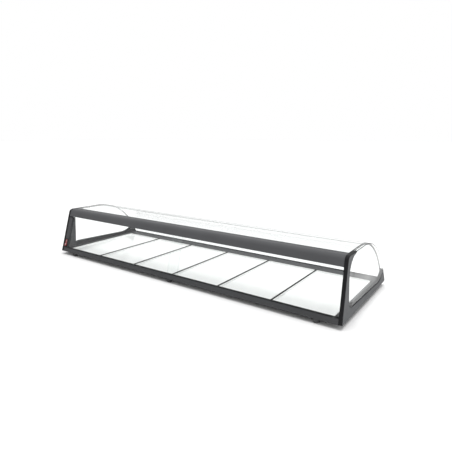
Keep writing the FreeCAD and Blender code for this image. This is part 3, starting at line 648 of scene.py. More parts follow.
def heater_silicone(name, colour):
    """A silicone mat with the wire's serpentine raised through a woven face."""
    material, tree, main = new_finish(name)
    where = place_of(tree)
    wire = add(tree, "ShaderNodeTexWave", Vector=where, Scale=26.0, Distortion=0.8,
               Detail=1.0).outputs["Fac"]
    weave = add(tree, "ShaderNodeTexChecker", Vector=where, Scale=900.0).outputs["Fac"]
    colours = blend_colours(tree, wire, scaled(colour, 0.7), scaled(colour, 1.2))
    relief = dent(tree, wire, 0.6, 0.0004)
    feed(tree, main, Base_Color=colours, Roughness=between(tree, wire, 0.55, 0.7),
         Normal=dent(tree, weave, 0.3, 0.0001, relief))
    return material


def lamp_strip(name):
    """A white board with a yellow chip every few millimetres."""
    material, tree, main = new_finish(name)
    where = place_of(tree, (110, 0.01, 0.01))
    pitch = add(tree, "ShaderNodeTexWave", Vector=where, Scale=0.5, Distortion=0.0).outputs["Fac"]
    chip = add(tree, "ShaderNodeMapRange", Value=pitch, From_Min=0.72, From_Max=0.76).outputs["Result"]
    colours = blend_colours(tree, chip, (0.75, 0.76, 0.74), (0.78, 0.55, 0.06))
    feed(tree, main, Base_Color=colours, Roughness=between(tree, grain(tree, where, 4.0), 0.3, 0.45),
         Normal=dent(tree, chip, 0.6, 0.0004))
    return material


def lead_sleeve(name):
    """Three twisted leads: brown, blue and green, told apart by their colours."""
    material, tree, main = new_finish(name)
    where = place_of(tree, (1, 0.25, 1))
    twist = add(tree, "ShaderNodeTexWave", Vector=where, Scale=120.0, Distortion=1.0).outputs["Fac"]
    first = blend_colours(tree, twist, (0.12, 0.05, 0.02), (0.02, 0.08, 0.3))
    fleck = grain(tree, where, 300.0)
    colours = blend_colours(tree, between(tree, fleck, 0, 0.5), first, (0.08, 0.25, 0.06))
    feed(tree, main, Base_Color=colours, Roughness=between(tree, fleck, 0.35, 0.55),
         Normal=dent(tree, twist, 0.5, 0.0004))
    return material


FINISHES = {}


def finish(name):
    return FINISHES[name]


def make_finishes(colours):
    """Every finish of the case, made once."""
    FINISHES.update({
        "frame_paint": powder_coat("frame_paint", colours.frame_grey),
        "rail_paint": powder_coat("rail_paint", colours.rail_grey),
        "beam_paint": powder_coat("beam_paint", colours.beam_grey),
        "trim_moulding": moulded_plastic("trim_moulding", colours.trim_black),
        "seal_rubber": soft_rubber("seal_rubber", colours.seal_black),
        "joint_silicone": soft_rubber("joint_silicone", colours.joint_grey),
        "foot_rubber": soft_rubber("foot_rubber", colours.foot_grey),
        "bent_glass": clear_sheet("bent_glass", colours.sheet_clear, 0.006, 1.66),
        "acrylic_sheet": clear_sheet("acrylic_sheet", colours.sheet_clear, 0.02, 1.42),
        "acrylic_arris": sheet_edge("acrylic_arris", (0.012, 0.013, 0.014), 0.96),
        "glass_arris": sheet_edge("glass_arris", (0.35, 0.4, 0.39), 0.3),
        "tray_glaze": glazed_white("tray_glaze", colours.tray_white),
        "rocker_gloss": surface("rocker_gloss", colours.switch_red, 0.16, 30.0, 900.0, 0.00004,
                                drift=0.08, scuff=0.05, Coat_Weight=0.5),
        "mark_print": surface("mark_print", (0.8, 0.8, 0.78), 0.5, 60.0, 1500.0, 0.00003),
        "divider_moulding": moulded_plastic("divider_moulding", scaled(colours.trim_black, 0.5), 0.6),
        "glide_nylon": surface("glide_nylon", (0.72, 0.71, 0.66), 0.45, 50.0, 1200.0, 0.00008),
        "pan_steel": brushed_metal("pan_steel", (0.2, 0.203, 0.206), (0.05, 1, 1)),
        "plate_aluminium": brushed_metal("plate_aluminium", (0.74, 0.75, 0.76), (1, 0.05, 1)),
        "fixing_zinc": surface("fixing_zinc", (0.6, 0.6, 0.62), 0.34, 90.0, 800.0, 0.00008,
                               drift=0.12, Metallic=1.0),
        "blade_brass": surface("blade_brass", (0.72, 0.52, 0.2), 0.3, 80.0, 700.0, 0.00005, Metallic=1.0),
        "cutoff_can": surface("cutoff_can", (0.66, 0.67, 0.68), 0.4, 70.0, 900.0, 0.00006, Metallic=1.0),
        "terminal_body": surface("terminal_body", (0.62, 0.62, 0.58), 0.5, 50.0, 1400.0, 0.00007),
        "opal_sheet": surface("opal_sheet", (0.82, 0.82, 0.8), 0.3, 20.0, 1500.0, 0.00004, drift=0.02,
                              Subsurface_Weight=0.3),
        "mat_silicone": heater_silicone("mat_silicone", (0.5, 0.12, 0.05)),
        "board_fibre": surface("board_fibre", (0.6, 0.55, 0.42), 0.9, 60.0, 700.0, 0.0004, drift=0.25,
                               stretch=(1, 4, 1)),
        "lamp_strip": lamp_strip("lamp_strip"),
        "lead_sleeve": lead_sleeve("lead_sleeve"),
    })


# The nodes that keep their frame shape, by the finish that they take.
KEPT_NODES = {
    "glide_nylon": ["door_glides_left", "door_glides_right"],
    "trim_moulding": ["lamp_holder_left", "lamp_holder_right", "thermostat"],
    "terminal_body": ["terminal_block"],
    "joint_silicone": ["glass_joint_left", "glass_joint_right"],
    "fixing_zinc": ["foot_screws", "frame_studs", "switch_pin"],
    "blade_brass": ["switch_terminals"],
    "plate_aluminium": ["heat_plate"],
    "cutoff_can": ["overheat_cutoff"],
    "mat_silicone": ["heater_mat_1", "heater_mat_2", "heater_mat_3"],
    "board_fibre": ["insulation"],
    "lamp_strip": ["led_board"],
    "lead_sleeve": ["wire_harness"],
}


class HOTCASE_OT_finishes(bpy.types.Operator):
    """Make every finish and give the frame nodes that stay visible theirs"""

    bl_idname = "hotcase.finishes"
    bl_label = "Finishes"

    def execute(self, context):
        make_finishes(context.scene.case_finish)
        for name, nodes in KEPT_NODES.items():
            for node in nodes:
                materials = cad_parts[node].data.materials
                materials.clear()
                materials.append(finish(name))
        return {"FINISHED"}


# ---------------------------------------------------------------- ends of the case
def rail_line(profile):
    """Where the end frame's lower rail starts at the post, where it turns up, and its slope."""
    start = (POST_REAR + profile.foot_radius, BASE + profile.rail_front)
    end = (REAR - profile.upstand, BASE + profile.rail_rear)
    return start, end, math.atan2(end[1] - start[1], end[0] - start[0])


def lifted(point, slope, height):
    return (point[0] - height * math.sin(slope), point[1] + height * math.cos(slope))


def arm_points(profile):
    """The arc under the arm: its centre, its head at the arm and its foot on the post."""
    under = TOP - profile.trim_thickness - profile.arm_root
    rise = profile.arm_radius * math.sin(profile.arm_sweep)
    centre = (POST_REAR + profile.arm_radius, under - rise)
    head = turned(centre, profile.arm_radius, math.pi - profile.arm_sweep)
    return centre, head, (POST_REAR, centre[1])


def end_frame(profile, name, side):
    trim = profile.trim_thickness
    arm_end = TRIM_REACH - profile.arm_setback
    arm_top = TOP - trim
    arm_centre, arm_head, arm_foot = arm_points(profile)
    rail_start, rail_end, slope = rail_line(profile)
    foot_centre = (rail_start[0], rail_start[1] + profile.foot_radius)
    upstand_centre, upstand_turn = tangent_arc(rail_end, slope, profile.roof_end(0))
    shape = Outline(name, side * INNER, (FRONT + trim / math.cos(profile.lean), BASE))
    shape.line(profile.corner(trim, True)).arc(profile.corner_centre, -profile.corner_turn)
    shape.line((arm_end, arm_top), (arm_end, arm_top - profile.arm_tip), arm_head)
    shape.arc(arm_centre, profile.arm_sweep).line((arm_foot[0], foot_centre[1]))
    shape.arc(foot_centre, math.pi / 2).line(rail_end).arc(upstand_centre, upstand_turn)
    shape.line((REAR, BASE + profile.nose_height), (REAR, BASE))
    return shape.prism(side * HALF)


def end_trim(profile, name, side):
    trim = profile.trim_thickness
    shape = Outline(name, side * INNER, (FRONT, BASE)).line(profile.corner(0, True))
    shape.arc(profile.corner_centre, -profile.corner_turn)
    shape.line((TRIM_REACH, TOP), (TRIM_REACH, TOP - trim), profile.corner(trim, False))
    shape.arc(profile.corner_centre, profile.corner_turn)
    shape.line((FRONT + trim / math.cos(profile.lean), BASE))
    return shape.prism(side * HALF)


def gasket_head(profile):
    """The turn of the roof arc that ends at the gasket's top, and that point."""
    angle = profile.roof_slope - profile.gasket / profile.roof_radius
    return angle, turned(profile.roof_centre, profile.roof_radius, math.pi / 2 - angle)


def end_gasket(profile, name, side):
    start, end, slope = rail_line(profile)
    tip = profile.roof_end(0)
    high_end = lifted(end, slope, profile.gasket)
    head = gasket_head(profile)[1]
    low_centre, low_turn = tangent_arc(end, slope, tip)
    high_centre, high_turn = tangent_arc(high_end, slope, head)
    shape = Outline(name, side * INNER, start).line(end).arc(low_centre, low_turn).line(head)
    shape.arc(high_centre, -high_turn).line(lifted(start, slope, profile.gasket))
    return shape.prism(side * HALF)


def end_panel(profile, name, side):
    start, end, slope = rail_line(profile)
    roof_turn, head = gasket_head(profile)
    high_end = lifted(end, slope, profile.gasket)
    high_centre, high_turn = tangent_arc(high_end, slope, head)
    foot_centre = (start[0], start[1] + profile.foot_radius)
    arm_centre, _, arm_foot = arm_points(profile)
    arm_end = TRIM_REACH - profile.arm_setback
    under_trim = TOP - profile.trim_thickness
    shape = Outline(name, side * INNER, (TRIM_REACH, TOP)).line((profile.roof_centre[0], TOP))
    shape.arc(profile.roof_centre, -roof_turn).arc(high_centre, -high_turn)
    shape.line(lifted(start, slope, profile.gasket), start).arc(foot_centre, -math.pi / 2)
    shape.line(arm_foot).arc(arm_centre, -profile.arm_sweep)
    shape.line((arm_end, under_trim - profile.arm_tip), (arm_end, under_trim), (TRIM_REACH, under_trim))
    return shape.prism(side * HALF)



class HOTCASE_OT_end_frames(bpy.types.Operator):
    """Build the painted end frames, the left one with the cord inlet's seat"""

    bl_idname = "hotcase.end_frames"
    bl_label = "End frames"

    def execute(self, context):
        low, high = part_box("inlet_bush")
        middle = (low + high) / 2
        seat = (high.z - low.z) / 2
        for word, side in SIDES:
            piece = end_frame(context.scene.case_profile, "end_frame_cheek_" + word, side)
            if side < 0:
                piece = cut(piece, barrel("inlet_seat", middle, seat, 2 * (high.x - low.x),
                                          (0, math.pi / 2, 0)))
            ease(piece, FRAME_EASE)
            # The inner faces, turned into the case, take the darker rail paint as painted shade.
            for face in piece.data.polygons:
                if face.normal.x * side < -FACING:
                    face.material_index = 1
            finish_piece(piece, "case", "frame_grey", ["end_frame_" + word], finish("frame_paint"),
                         finish("rail_paint"))
        return {"FINISHED"}


class HOTCASE_OT_end_trims(bpy.types.Operator):
    """Build the black trim round the front and top edge of each end"""

    bl_idname = "hotcase.end_trims"
    bl_label = "Edge trims"

    def execute(self, context):
        for word, side in SIDES:
            piece = end_trim(context.scene.case_profile, "edge_trim_" + word, side)
            complete(piece, SOFT_EASE, "trim_black", "end_trim_" + word, "trim_moulding")
        return {"FINISHED"}


class HOTCASE_OT_end_panels(bpy.types.Operator):
    """Build the clear end panels with their bevelled arrises"""

    bl_idname = "hotcase.end_panels"
    bl_label = "End panels"

    def execute(self, context):
        for word, side in SIDES:
            piece = end_panel(context.scene.case_profile, "end_pane_" + word, side)
            ease(piece, PANEL_ARRIS, 3, "acrylic_sheet", "acrylic_arris")
            frame_face(piece, side * HALF, PANEL_BORDER)
            finish_piece(piece, "case", "panel_clear", ["end_panel_" + word])
        return {"FINISHED"}


class HOTCASE_OT_end_gaskets(bpy.types.Operator):
    """Build the dark strip under each end panel"""

    bl_idname = "hotcase.end_gaskets"
    bl_label = "End gaskets"

    def execute(self, context):
        for word, side in SIDES:
            piece = end_gasket(context.scene.case_profile, "pane_gasket_" + word, side)
            complete(piece, RAIL_EASE, "seal_black", "end_gasket_" + word, "seal_rubber")
        return {"FINISHED"}


# ---------------------------------------------------------------- curved glass and its seals
class HOTCASE_OT_curved_glass(bpy.types.Operator):
    """Build the curved glass over the top and the customer side"""

    bl_idname = "hotcase.curved_glass"
    bl_label = "Curved glass"

    def execute(self, context):
        profile = context.scene.case_profile
        thick = profile.glass_thickness
        end = profile.tail_at(profile.glass_seat, 0)
        low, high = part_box("curved_glass")
        shape = Outline("roof_glass", low.x, (low.y, TOP)).line((profile.roof_centre[0], TOP))
        shape.arc(profile.roof_centre, -profile.roof_slope)
        shape.line(profile.tail(end, 0), profile.tail(end, thick), profile.roof_end(thick))
        shape.arc(profile.roof_centre, profile.roof_slope).line((low.y, TOP - thick))
        piece = ease(shape.prism(high.x), SHEET_ARRIS, 1, "bent_glass", "glass_arris")
        finish_piece(piece, "case", "curved_clear", ["curved_glass"])
        return {"FINISHED"}


class HOTCASE_OT_glass_seals(bpy.types.Operator):
    """Build the rubber seals at the front and rear edge of the curved glass"""

    bl_idname = "hotcase.glass_seals"
    bl_label = "Glass seals"

    def execute(self, context):
        profile = context.scene.case_profile
        thick = profile.glass_thickness
        front, rear = BEAM_REAR, BEAM_REAR + profile.shelf
        gap = front + profile.glass_gap
        shelf = TOP - thick - profile.glass_bed
        shape = Outline("front_glass_seal", -INNER, (front, TOP)).line((gap, TOP), (gap, TOP - thick))
        shape.line((rear, TOP - thick), (rear, shelf), (front, shelf))
        complete(shape.prism(INNER), FINE_EASE, "seal_black", "glass_front_seal", "seal_rubber")
        end = profile.tail_at(profile.glass_seat, 0)
        low = end + profile.seal_thickness
        leg = thick + profile.seal_leg
        head = profile.tail_at(profile.seal_top, leg)
        shape = Outline("rear_glass_seal", -INNER, profile.tail(end, 0))
        shape.line(profile.tail(low, 0), profile.tail(low, leg), profile.tail(head, leg))
        shape.line(profile.tail(head, thick), profile.tail(end, thick))
        complete(shape.prism(INNER), FINE_EASE, "seal_black", "glass_rear_seal", "seal_rubber")
        return {"FINISHED"}


# ---------------------------------------------------------------- beam, rails and door tracks
class HOTCASE_OT_top_beam(bpy.types.Operator):
    """Build the top beam with its door track channel, lamp channel and glass shelf"""

    bl_idname = "hotcase.top_beam"
    bl_label = "Top beam"

    def execute(self, context):
        profile = context.scene.case_profile
        foot = profile.beam_bottom
        roof = foot + profile.track_rise + profile.track_depth
        setback = profile.setback
        shelf = TOP - profile.glass_thickness - profile.glass_bed
        shelf_foot = shelf - profile.shelf_thickness
        shelf_rear = BEAM_REAR + profile.shelf
        rear_low = (BEAM_REAR, TOP - profile.beam_rear_drop)
        heel = profile.service(foot, profile.track_rear + profile.skin)

        def underside(y):
            part = (y - heel[0]) / (rear_low[0] - heel[0])
            return (y, heel[1] + part * (rear_low[1] - heel[1]))
        shape = Outline("beam_shell", -INNER, profile.service(foot, setback))
        shape.line(profile.corner(setback, True)).arc(profile.corner_centre, -profile.corner_turn)
        shape.line((BEAM_REAR, TOP - setback), (BEAM_REAR, shelf), (shelf_rear, shelf))
        shape.line((shelf_rear, shelf_foot), (BEAM_REAR, shelf_foot), rear_low)
        shape.line(underside(LAMP_HIGH.y), (LAMP_HIGH.y, LAMP_HIGH.z), (LAMP_LOW.y, LAMP_HIGH.z))
        shape.line(underside(LAMP_LOW.y), heel, profile.service(foot, profile.track_rear))
        shape.line(profile.service(roof, profile.track_rear), profile.service(roof, profile.track_front))
        shape.line(profile.service(foot, profile.track_front))
        complete(shape.prism(INNER), BEAM_EASE, "rail_dark", "top_beam", "beam_paint")
        return {"FINISHED"}


def comb(profile, shape, outer, inner):
    """Draws a track's two door slots, rear one first, from its open side to the slots' floor."""
    at = profile.service
    for slot in reversed(profile.slots):
        behind = slot + profile.slot
        shape.line(at(outer, behind), at(inner, behind), at(inner, slot), at(outer, slot))


class HOTCASE_OT_door_tracks(bpy.types.Operator):
    """Build the lower and upper door tracks, each with two slots"""

    bl_idname = "hotcase.door_tracks"
    bl_label = "Door tracks"

    def execute(self, context):
        profile = context.scene.case_profile
        at = profile.service
        low, high, rear = profile.track_base, profile.track_top, profile.track_rear
        lip = profile.setback + profile.lip
        shape = Outline("lower_track", HOUSING_FACE, at(low, rear)).line(at(high, rear))
        comb(profile, shape, high, low + profile.slot_floor)
        shape.line(at(high, profile.setback), at(profile.lip_top, profile.setback))
        shape.line(at(profile.lip_top, lip), at(low, lip))
        complete(shape.prism(INNER), FINE_EASE, "trim_black", "lower_door_track", "trim_moulding")
        low = profile.beam_bottom + profile.track_rise
        high = low + profile.track_depth
        shape = Outline("upper_track", HOUSING_FACE, at(high, rear)).line(at(low, rear))
        comb(profile, shape, low, high - profile.slot_floor)
        shape.line(at(low, profile.track_front), at(high, profile.track_front))
        complete(shape.prism(INNER), FINE_EASE, "trim_black", "upper_door_track", "trim_moulding")
        return {"FINISHED"}


class HOTCASE_OT_rails(bpy.types.Operator):
    """Build the front, rear and side rails round the well"""

    bl_idname = "hotcase.rails"
    bl_label = "Rails"

    def execute(self, context):
        profile = context.scene.case_profile
        at = profile.service
        lip = profile.setback + profile.lip
        rear = FRONT + profile.rail_depth
        heel = at(profile.track_base, profile.track_rear)
        toe = (FRONT + profile.setback / math.cos(profile.lean), BASE)
        shape = Outline("front_rail_cap", HOUSING_FACE, toe)
        shape.line(at(profile.lip_top, profile.setback), at(profile.lip_top, lip))
        shape.line(at(profile.track_base, lip), heel, (rear, heel[1]), (rear, BASE))
        complete(shape.prism(INNER), RAIL_EASE, "rail_dark", "front_rail", "rail_paint")
        leg = profile.glass_thickness + profile.seal_leg
        low = profile.tail_at(profile.glass_seat, 0) + profile.seal_thickness
        top = BASE + profile.rail_top
        shape = Outline("rear_rail_cap", -INNER, (WELL_REAR, BASE)).line((WELL_REAR, top))
        shape.line(profile.tail(profile.tail_at(profile.rail_top, leg), leg), profile.tail(low, leg))
        shape.line(profile.tail(low, 0), (REAR, BASE + profile.nose_height), (REAR, BASE))
        complete(shape.prism(INNER), RAIL_EASE, "rail_dark", "rear_rail", "rail_paint")
        for word, _ in SIDES:
            piece = copy_of_node("side_rail_cap_" + word, "side_rail_" + word)
            complete(piece, RAIL_EASE, "rail_dark", "side_rail_" + word, "rail_paint")
        return {"FINISHED"}


# ---------------------------------------------------------------- sliding doors
CUTTER_LENGTH = 0.03


def door_pane(profile, name, node, slot, hole_x):
    """A leaning clear sheet with rounded corners and a finger hole."""
    at = profile.service
    low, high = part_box(node)
    foot = profile.track_base + profile.slot_floor + profile.door_run
    head = profile.beam_bottom + profile.door_grip
    front = slot + (profile.slot - profile.door_thickness) / 2
    rear = front + profile.door_thickness
    shape = Outline(name, low.x, at(foot, front)).line(at(head, front), at(head, rear), at(foot, rear))
    piece = shape.prism(high.x)
    pick(piece, "EDGE", lambda a, b: (a - b).length < 1.01 * profile.door_thickness)
    bpy.ops.mesh.bevel(offset=profile.door_corner, segments=5, affect="EDGES")
    close_piece()
    middle = at((foot + head) / 2, (front + rear) / 2)
    rotation = (math.pi / 2 - profile.lean, 0, 0)
    cutter = barrel("finger_cutter", (hole_x, *middle), profile.finger_hole / 2, CUTTER_LENGTH, rotation)
    return ease(cut(piece, cutter), SHEET_ARRIS, 1, "acrylic_sheet", "glass_arris")


class HOTCASE_OT_doors(bpy.types.Operator):
    """Build the two clear sliding doors"""

    bl_idname = "hotcase.doors"
    bl_label = "Sliding doors"

    def execute(self, context):
        profile = context.scene.case_profile
        for (word, side), slot in zip(SIDES, profile.slots):
            node = "door_" + word
            low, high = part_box(node)
            hole_x = low.x + profile.finger_inset if side < 0 else high.x - profile.finger_inset
            piece = door_pane(profile, "door_pane_" + word, node, slot, hole_x)
            finish_piece(piece, node, "panel_clear", [node])
        return {"FINISHED"}


# ---------------------------------------------------------------- control housing and switch
MARK_WIDTH, MARK_RAISED = 0.0007, 0.00015


def rocked(profile, switch, up, out):
    """A point on the tilted rocker: up along it and out from its pivot."""
    pivot = profile.service(switch.height, profile.setback + switch.pivot_depth)
    angle = profile.lean + switch.tilt
    return (pivot[0] + up * math.sin(angle) - out * math.cos(angle),
            pivot[1] + up * math.cos(angle) + out * math.sin(angle))


class HOTCASE_OT_housing(bpy.types.Operator):
    """Build the control housing with its rounded edges"""

    bl_idname = "hotcase.housing"
    bl_label = "Control housing"

    def execute(self, context):
        piece = copy_of_node("housing_shell", "control_housing")
        complete(piece, BEAM_EASE, "rail_dark", "control_housing", "rail_paint")
        return {"FINISHED"}


class HOTCASE_OT_switch(bpy.types.Operator):
    """Build the switch: its bezel, the red rocker and the two marks on it"""

    bl_idname = "hotcase.switch"
    bl_label = "Rocker switch"

    def execute(self, context):
        profile, switch = context.scene.case_profile, context.scene.case_switch
        piece = copy_of_node("switch_bezel", "switch_frame")
        complete(piece, BEZEL_EASE, "trim_black", "switch_frame", "trim_moulding")
        low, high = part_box("switch_rocker")
        half, edge, valley = switch.half_length, switch.edge, switch.valley
        shape = Outline("rocker_key", low.x, rocked(profile, switch, -half, -switch.back))
        shape.line(rocked(profile, switch, half, -switch.back), rocked(profile, switch, half, edge))
        shape.line(rocked(profile, switch, 0, valley), rocked(profile, switch, -half, edge))
        complete(shape.prism(high.x), SOFT_EASE, "switch_red", "switch_rocker", "rocker_gloss",
                 "rocker", 3)
        middle = (low.x + high.x) / 2
        slope = math.atan2(edge - valley, half)
        height = 0.5 * (edge + valley)
        reach = switch.mark / 2
        rise = reach * math.tan(slope)
        near, far = (half / 2 - reach, height - rise), (half / 2 + reach, height + rise)
        shape = Outline("mark_on", middle - MARK_WIDTH / 2, rocked(profile, switch, *near))
        shape.line(rocked(profile, switch, *far))
        shape.line(rocked(profile, switch, far[0], far[1] + MARK_RAISED))
        shape.line(rocked(profile, switch, near[0], near[1] + MARK_RAISED))
        complete(shape.prism(middle + MARK_WIDTH / 2), MARK_EASE, "switch_red", None, "mark_print",
                 "rocker", 1)
        place = (middle, *rocked(profile, switch, -half / 2, height))
        leaning = math.pi / 2 - profile.lean - switch.tilt - slope
        bpy.ops.object.select_all(action="DESELECT")
        bpy.ops.mesh.primitive_torus_add(major_radius=reach, minor_radius=MARK_WIDTH / 2,
                                         major_segments=40, minor_segments=10, location=place,
                                         rotation=(leaning, 0, 0))
        ring = bpy.context.object
        ring.name = ring.data.name = "mark_off"
        settle_place(ring)
        bpy.ops.object.shade_smooth()
        finish_piece(ring, "rocker", "switch_red", [], finish("mark_print"))
        return {"FINISHED"}


# ---------------------------------------------------------------- trays, dividers and lamp
HOLLOW_DRAFT = (0.986, 0.992, 1)
SOLE_INSET, SOLE_RECESS = 0.004, 0.0005
DIVIDER_ROUND = 0.0014


class HOTCASE_OT_trays(bpy.types.Operator):
    """Build one white tray with a rounded rim and copy it along the well"""

    bl_idname = "hotcase.trays"
    bl_label = "Trays"

    def execute(self, context):
        profile = context.scene.case_profile
        low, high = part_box(TRAYS[0])
        middle = (low + high) / 2
        piece = block("white_tray_1", low, high)
        pick(piece, "EDGE", lambda a, b: (a - b).xy.length < SAME)
        bpy.ops.mesh.bevel(offset=profile.tray_corner, segments=8, affect="EDGES")
        close_piece()
        pick(piece, "FACE", lambda centre, normal: normal.z > FACING_UP)
        bpy.ops.mesh.inset(thickness=profile.tray_rim)
        push(0, 0, -profile.tray_depth)
        bpy.ops.transform.resize(value=HOLLOW_DRAFT, center_override=middle)
        close_piece()
        pick(piece, "FACE", lambda centre, normal: normal.z < -FACING_UP)
        bpy.ops.mesh.inset(thickness=SOLE_INSET)
        push(0, 0, SOLE_RECESS)
        close_piece()
        ease(piece, SOFT_EASE, 3)
        for node, tray in zip(TRAYS, copies_at(piece, "white_", TRAYS)):
            finish_piece(tray, node, "tray_white", [node], finish("tray_glaze"))
        return {"FINISHED"}


class HOTCASE_OT_dividers(bpy.types.Operator):
    """Build one black divider with a rounded back and copy it between the trays"""

    bl_idname = "hotcase.dividers"
    bl_label = "Dividers"

    def execute(self, context):
        low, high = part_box(DIVIDERS[0])
        piece = block("black_divider_1", low, high)
        pick(piece, "EDGE", lambda a, b: min(a.z, b.z) > high.z - SAME and abs(a.x - b.x) < SAME)
        bpy.ops.mesh.bevel(offset=DIVIDER_ROUND, segments=5, affect="EDGES")
        close_piece()
        ease(piece, FINE_EASE)
        for node, divider in zip(DIVIDERS, copies_at(piece, "black_", DIVIDERS)):
            finish_piece(divider, "case", "trim_black", [node], finish("divider_moulding"))
        return {"FINISHED"}


class HOTCASE_OT_lamp(bpy.types.Operator):
    """Build the opal cover of the lamp, crowned on its lower face"""

    bl_idname = "hotcase.lamp"
    bl_label = "Lamp cover"

    def execute(self, context):
        low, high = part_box("lamp_diffuser")
        middle = (low.y + high.y) / 2
        width, thick = high.y - low.y, high.z - low.z
        radius = (width * width / 4 + thick * thick / 4) / thick
        shape = Outline("lamp_cover", low.x, (low.y, low.z + thick / 2))
        centre = (middle, low.z + radius)
        half = math.asin(width / 2 / radius)
        shape.arc(centre, 2 * half).line((high.y, high.z), (low.y, high.z))
        complete(shape.prism(high.x), FINE_EASE, "opal", "lamp_diffuser", "opal_sheet")
        return {"FINISHED"}


# ---------------------------------------------------------------- underside
class HOTCASE_OT_underside(bpy.types.Operator):
    """Build the folded bottom pan and the cord inlet bush"""

    bl_idname = "hotcase.underside"
    bl_label = "Underside"

    def execute(self, context):
        pan = copy_of_node("pan_sheet", "bottom_pan")
        complete(pan, FINE_EASE, "pan_steel", "bottom_pan", "pan_steel")
        bush = copy_of_node("inlet_grommet", "inlet_bush")
        complete(bush, FINE_EASE, "seal_black", "inlet_bush", "seal_rubber")
        return {"FINISHED"}


FOOT_RADIUS, FOOT_TAPER = 0.009, 8 / 9
RECESS_RADIUS, RECESS_DEPTH = 0.0045, 0.005


def foot_places():
    low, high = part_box("feet")
    ys = (low.y + FOOT_RADIUS, high.y - FOOT_RADIUS)
    xs = (low.x + FOOT_RADIUS, (low.x + high.x) / 2, high.x - FOOT_RADIUS)
    return [(x, y) for x in xs for y in ys]


class HOTCASE_OT_feet(bpy.types.Operator):
    """Build one rubber foot with a screw recess and copy it to the other five places"""

    bl_idname = "hotcase.feet"
    bl_label = "Feet"

    def execute(self, context):
        low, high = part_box("feet")
        height = high.z - low.z
        places = foot_places()
        x, y = places[0]
        piece = barrel("rubber_foot_1", (x, y, low.z + height / 2), FOOT_RADIUS, height)
        pick(piece, "FACE", lambda centre, normal: normal.z < -FACING_UP)
        bpy.ops.transform.resize(value=(FOOT_TAPER, FOOT_TAPER, 1), center_override=(x, y, low.z))
        bpy.ops.mesh.inset(thickness=FOOT_RADIUS * FOOT_TAPER - RECESS_RADIUS)
        push(0, 0, RECESS_DEPTH)
        close_piece()
        ease(piece, BEAM_EASE, 3)
        pieces = [piece]
        for number, (px, py) in enumerate(places[1:], 2):
            pieces.append(copied(piece, "rubber_foot_%d" % number, (px - x, py - y, 0)))
        for foot in pieces:
            finish_piece(foot, "case", "foot_rubber", ["feet"], finish("foot_rubber"))
        return {"FINISHED"}


# ---------------------------------------------------------------- studio
def softbox(name, place, aim, width, depth, power):
    bpy.ops.object.light_add(type="AREA", location=place)
    lamp = bpy.context.object
    lamp.name = name
    lamp.rotation_euler = (Vector(aim) - Vector(place)).to_track_quat("-Z", "Y").to_euler()
    lamp.data.shape = "RECTANGLE"
    lamp.data.size, lamp.data.size_y = width, depth
    lamp.data.energy = power
    return lamp


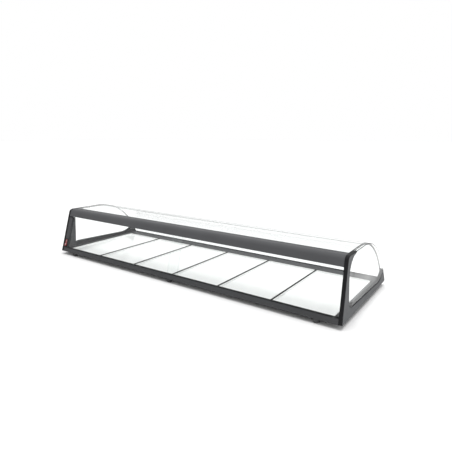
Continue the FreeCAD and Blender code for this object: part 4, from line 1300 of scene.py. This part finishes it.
class HOTCASE_OT_stage(bpy.types.Operator):
    """Set up the floor, the soft white surroundings, the lights and the camera"""

    bl_idname = "hotcase.stage"
    bl_label = "Studio"

    def execute(self, context):
        stage = context.scene.case_stage
        bpy.ops.object.select_all(action="DESELECT")
        bpy.ops.mesh.primitive_plane_add(size=60, location=(0, 0, 0))
        floor = context.object
        floor.name = "studio_floor"
        floor.data.materials.append(surface("studio_floor", stage.floor_white, 0.7, 2.0, 300.0, 0.0001,
                                            drift=0.01, Specular_IOR_Level=0.1))
        world = bpy.data.worlds.new("studio_sky")
        context.scene.world = world
        world.use_nodes = True
        seen = add(world.node_tree, "ShaderNodeLightPath").outputs["Is Diffuse Ray"]
        glow = add(world.node_tree, "ShaderNodeMapRange", Value=seen, To_Min=1.0, To_Max=stage.sky)
        feed(world.node_tree, world.node_tree.nodes["Background"], Color=(1, 1, 1, 1),
             Strength=glow.outputs["Result"])
        bpy.ops.object.light_add(type="SUN", location=(0, 0.4, 3), rotation=(-0.14, 0.02, 0))
        overhead = context.object
        overhead.name = "overhead_light"
        overhead.data.energy, overhead.data.angle = stage.overhead, stage.overhead_spread
        softbox("side_softbox", (2.6, -0.4, 1.0), (0.2, 0, 0.08), 1.2, 1.2, stage.side)
        context.scene.view_settings.view_transform = "Standard"
        bpy.ops.object.camera_add(location=stage.camera_place,
                                  rotation=(math.pi / 2 - stage.camera_dip, 0, stage.camera_heading))
        camera = context.object
        camera.name = "studio_camera"
        camera.data.sensor_width = 36.0
        camera.data.lens = stage.camera_lens
        camera.data.shift_y = stage.camera_shift
        camera.data.clip_start = 0.01
        context.scene.camera = camera
        return {"FINISHED"}


class HOTCASE_PT_panel(bpy.types.Panel):
    """The display case's pieces, in the order in which they are built"""

    bl_idname = "HOTCASE_PT_panel"
    bl_label = "Display case"
    bl_space_type = "VIEW_3D"
    bl_region_type = "UI"
    bl_category = "Display case"

    def draw(self, context):
        for operator in OPERATORS:
            self.layout.operator(operator.bl_idname)


OPERATORS = (HOTCASE_OT_finishes, HOTCASE_OT_end_frames, HOTCASE_OT_end_trims, HOTCASE_OT_end_panels,
             HOTCASE_OT_end_gaskets, HOTCASE_OT_curved_glass, HOTCASE_OT_glass_seals, HOTCASE_OT_top_beam,
             HOTCASE_OT_door_tracks, HOTCASE_OT_rails, HOTCASE_OT_doors, HOTCASE_OT_housing,
             HOTCASE_OT_switch, HOTCASE_OT_trays, HOTCASE_OT_dividers, HOTCASE_OT_lamp,
             HOTCASE_OT_underside, HOTCASE_OT_feet, HOTCASE_OT_stage)
GROUPS = {"case_profile": CaseProfile, "case_switch": CaseSwitch, "case_finish": CaseFinish,
          "case_stage": CaseStage}


def register():
    for group in GROUPS.values():
        bpy.utils.register_class(group)
    for cls in (*OPERATORS, HOTCASE_PT_panel):
        bpy.utils.register_class(cls)
    for name, group in GROUPS.items():
        setattr(bpy.types.Scene, name, PointerProperty(type=group))


def unregister():
    for name in GROUPS:
        delattr(bpy.types.Scene, name)
    for cls in (HOTCASE_PT_panel, *reversed(OPERATORS)):
        bpy.utils.unregister_class(cls)
    for group in GROUPS.values():
        bpy.utils.unregister_class(group)


def main():
    register()
    for operator in OPERATORS:
        family, name = operator.bl_idname.split(".")
        getattr(getattr(bpy.ops, family), name)()
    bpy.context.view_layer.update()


if __name__ == "__main__":
    main()
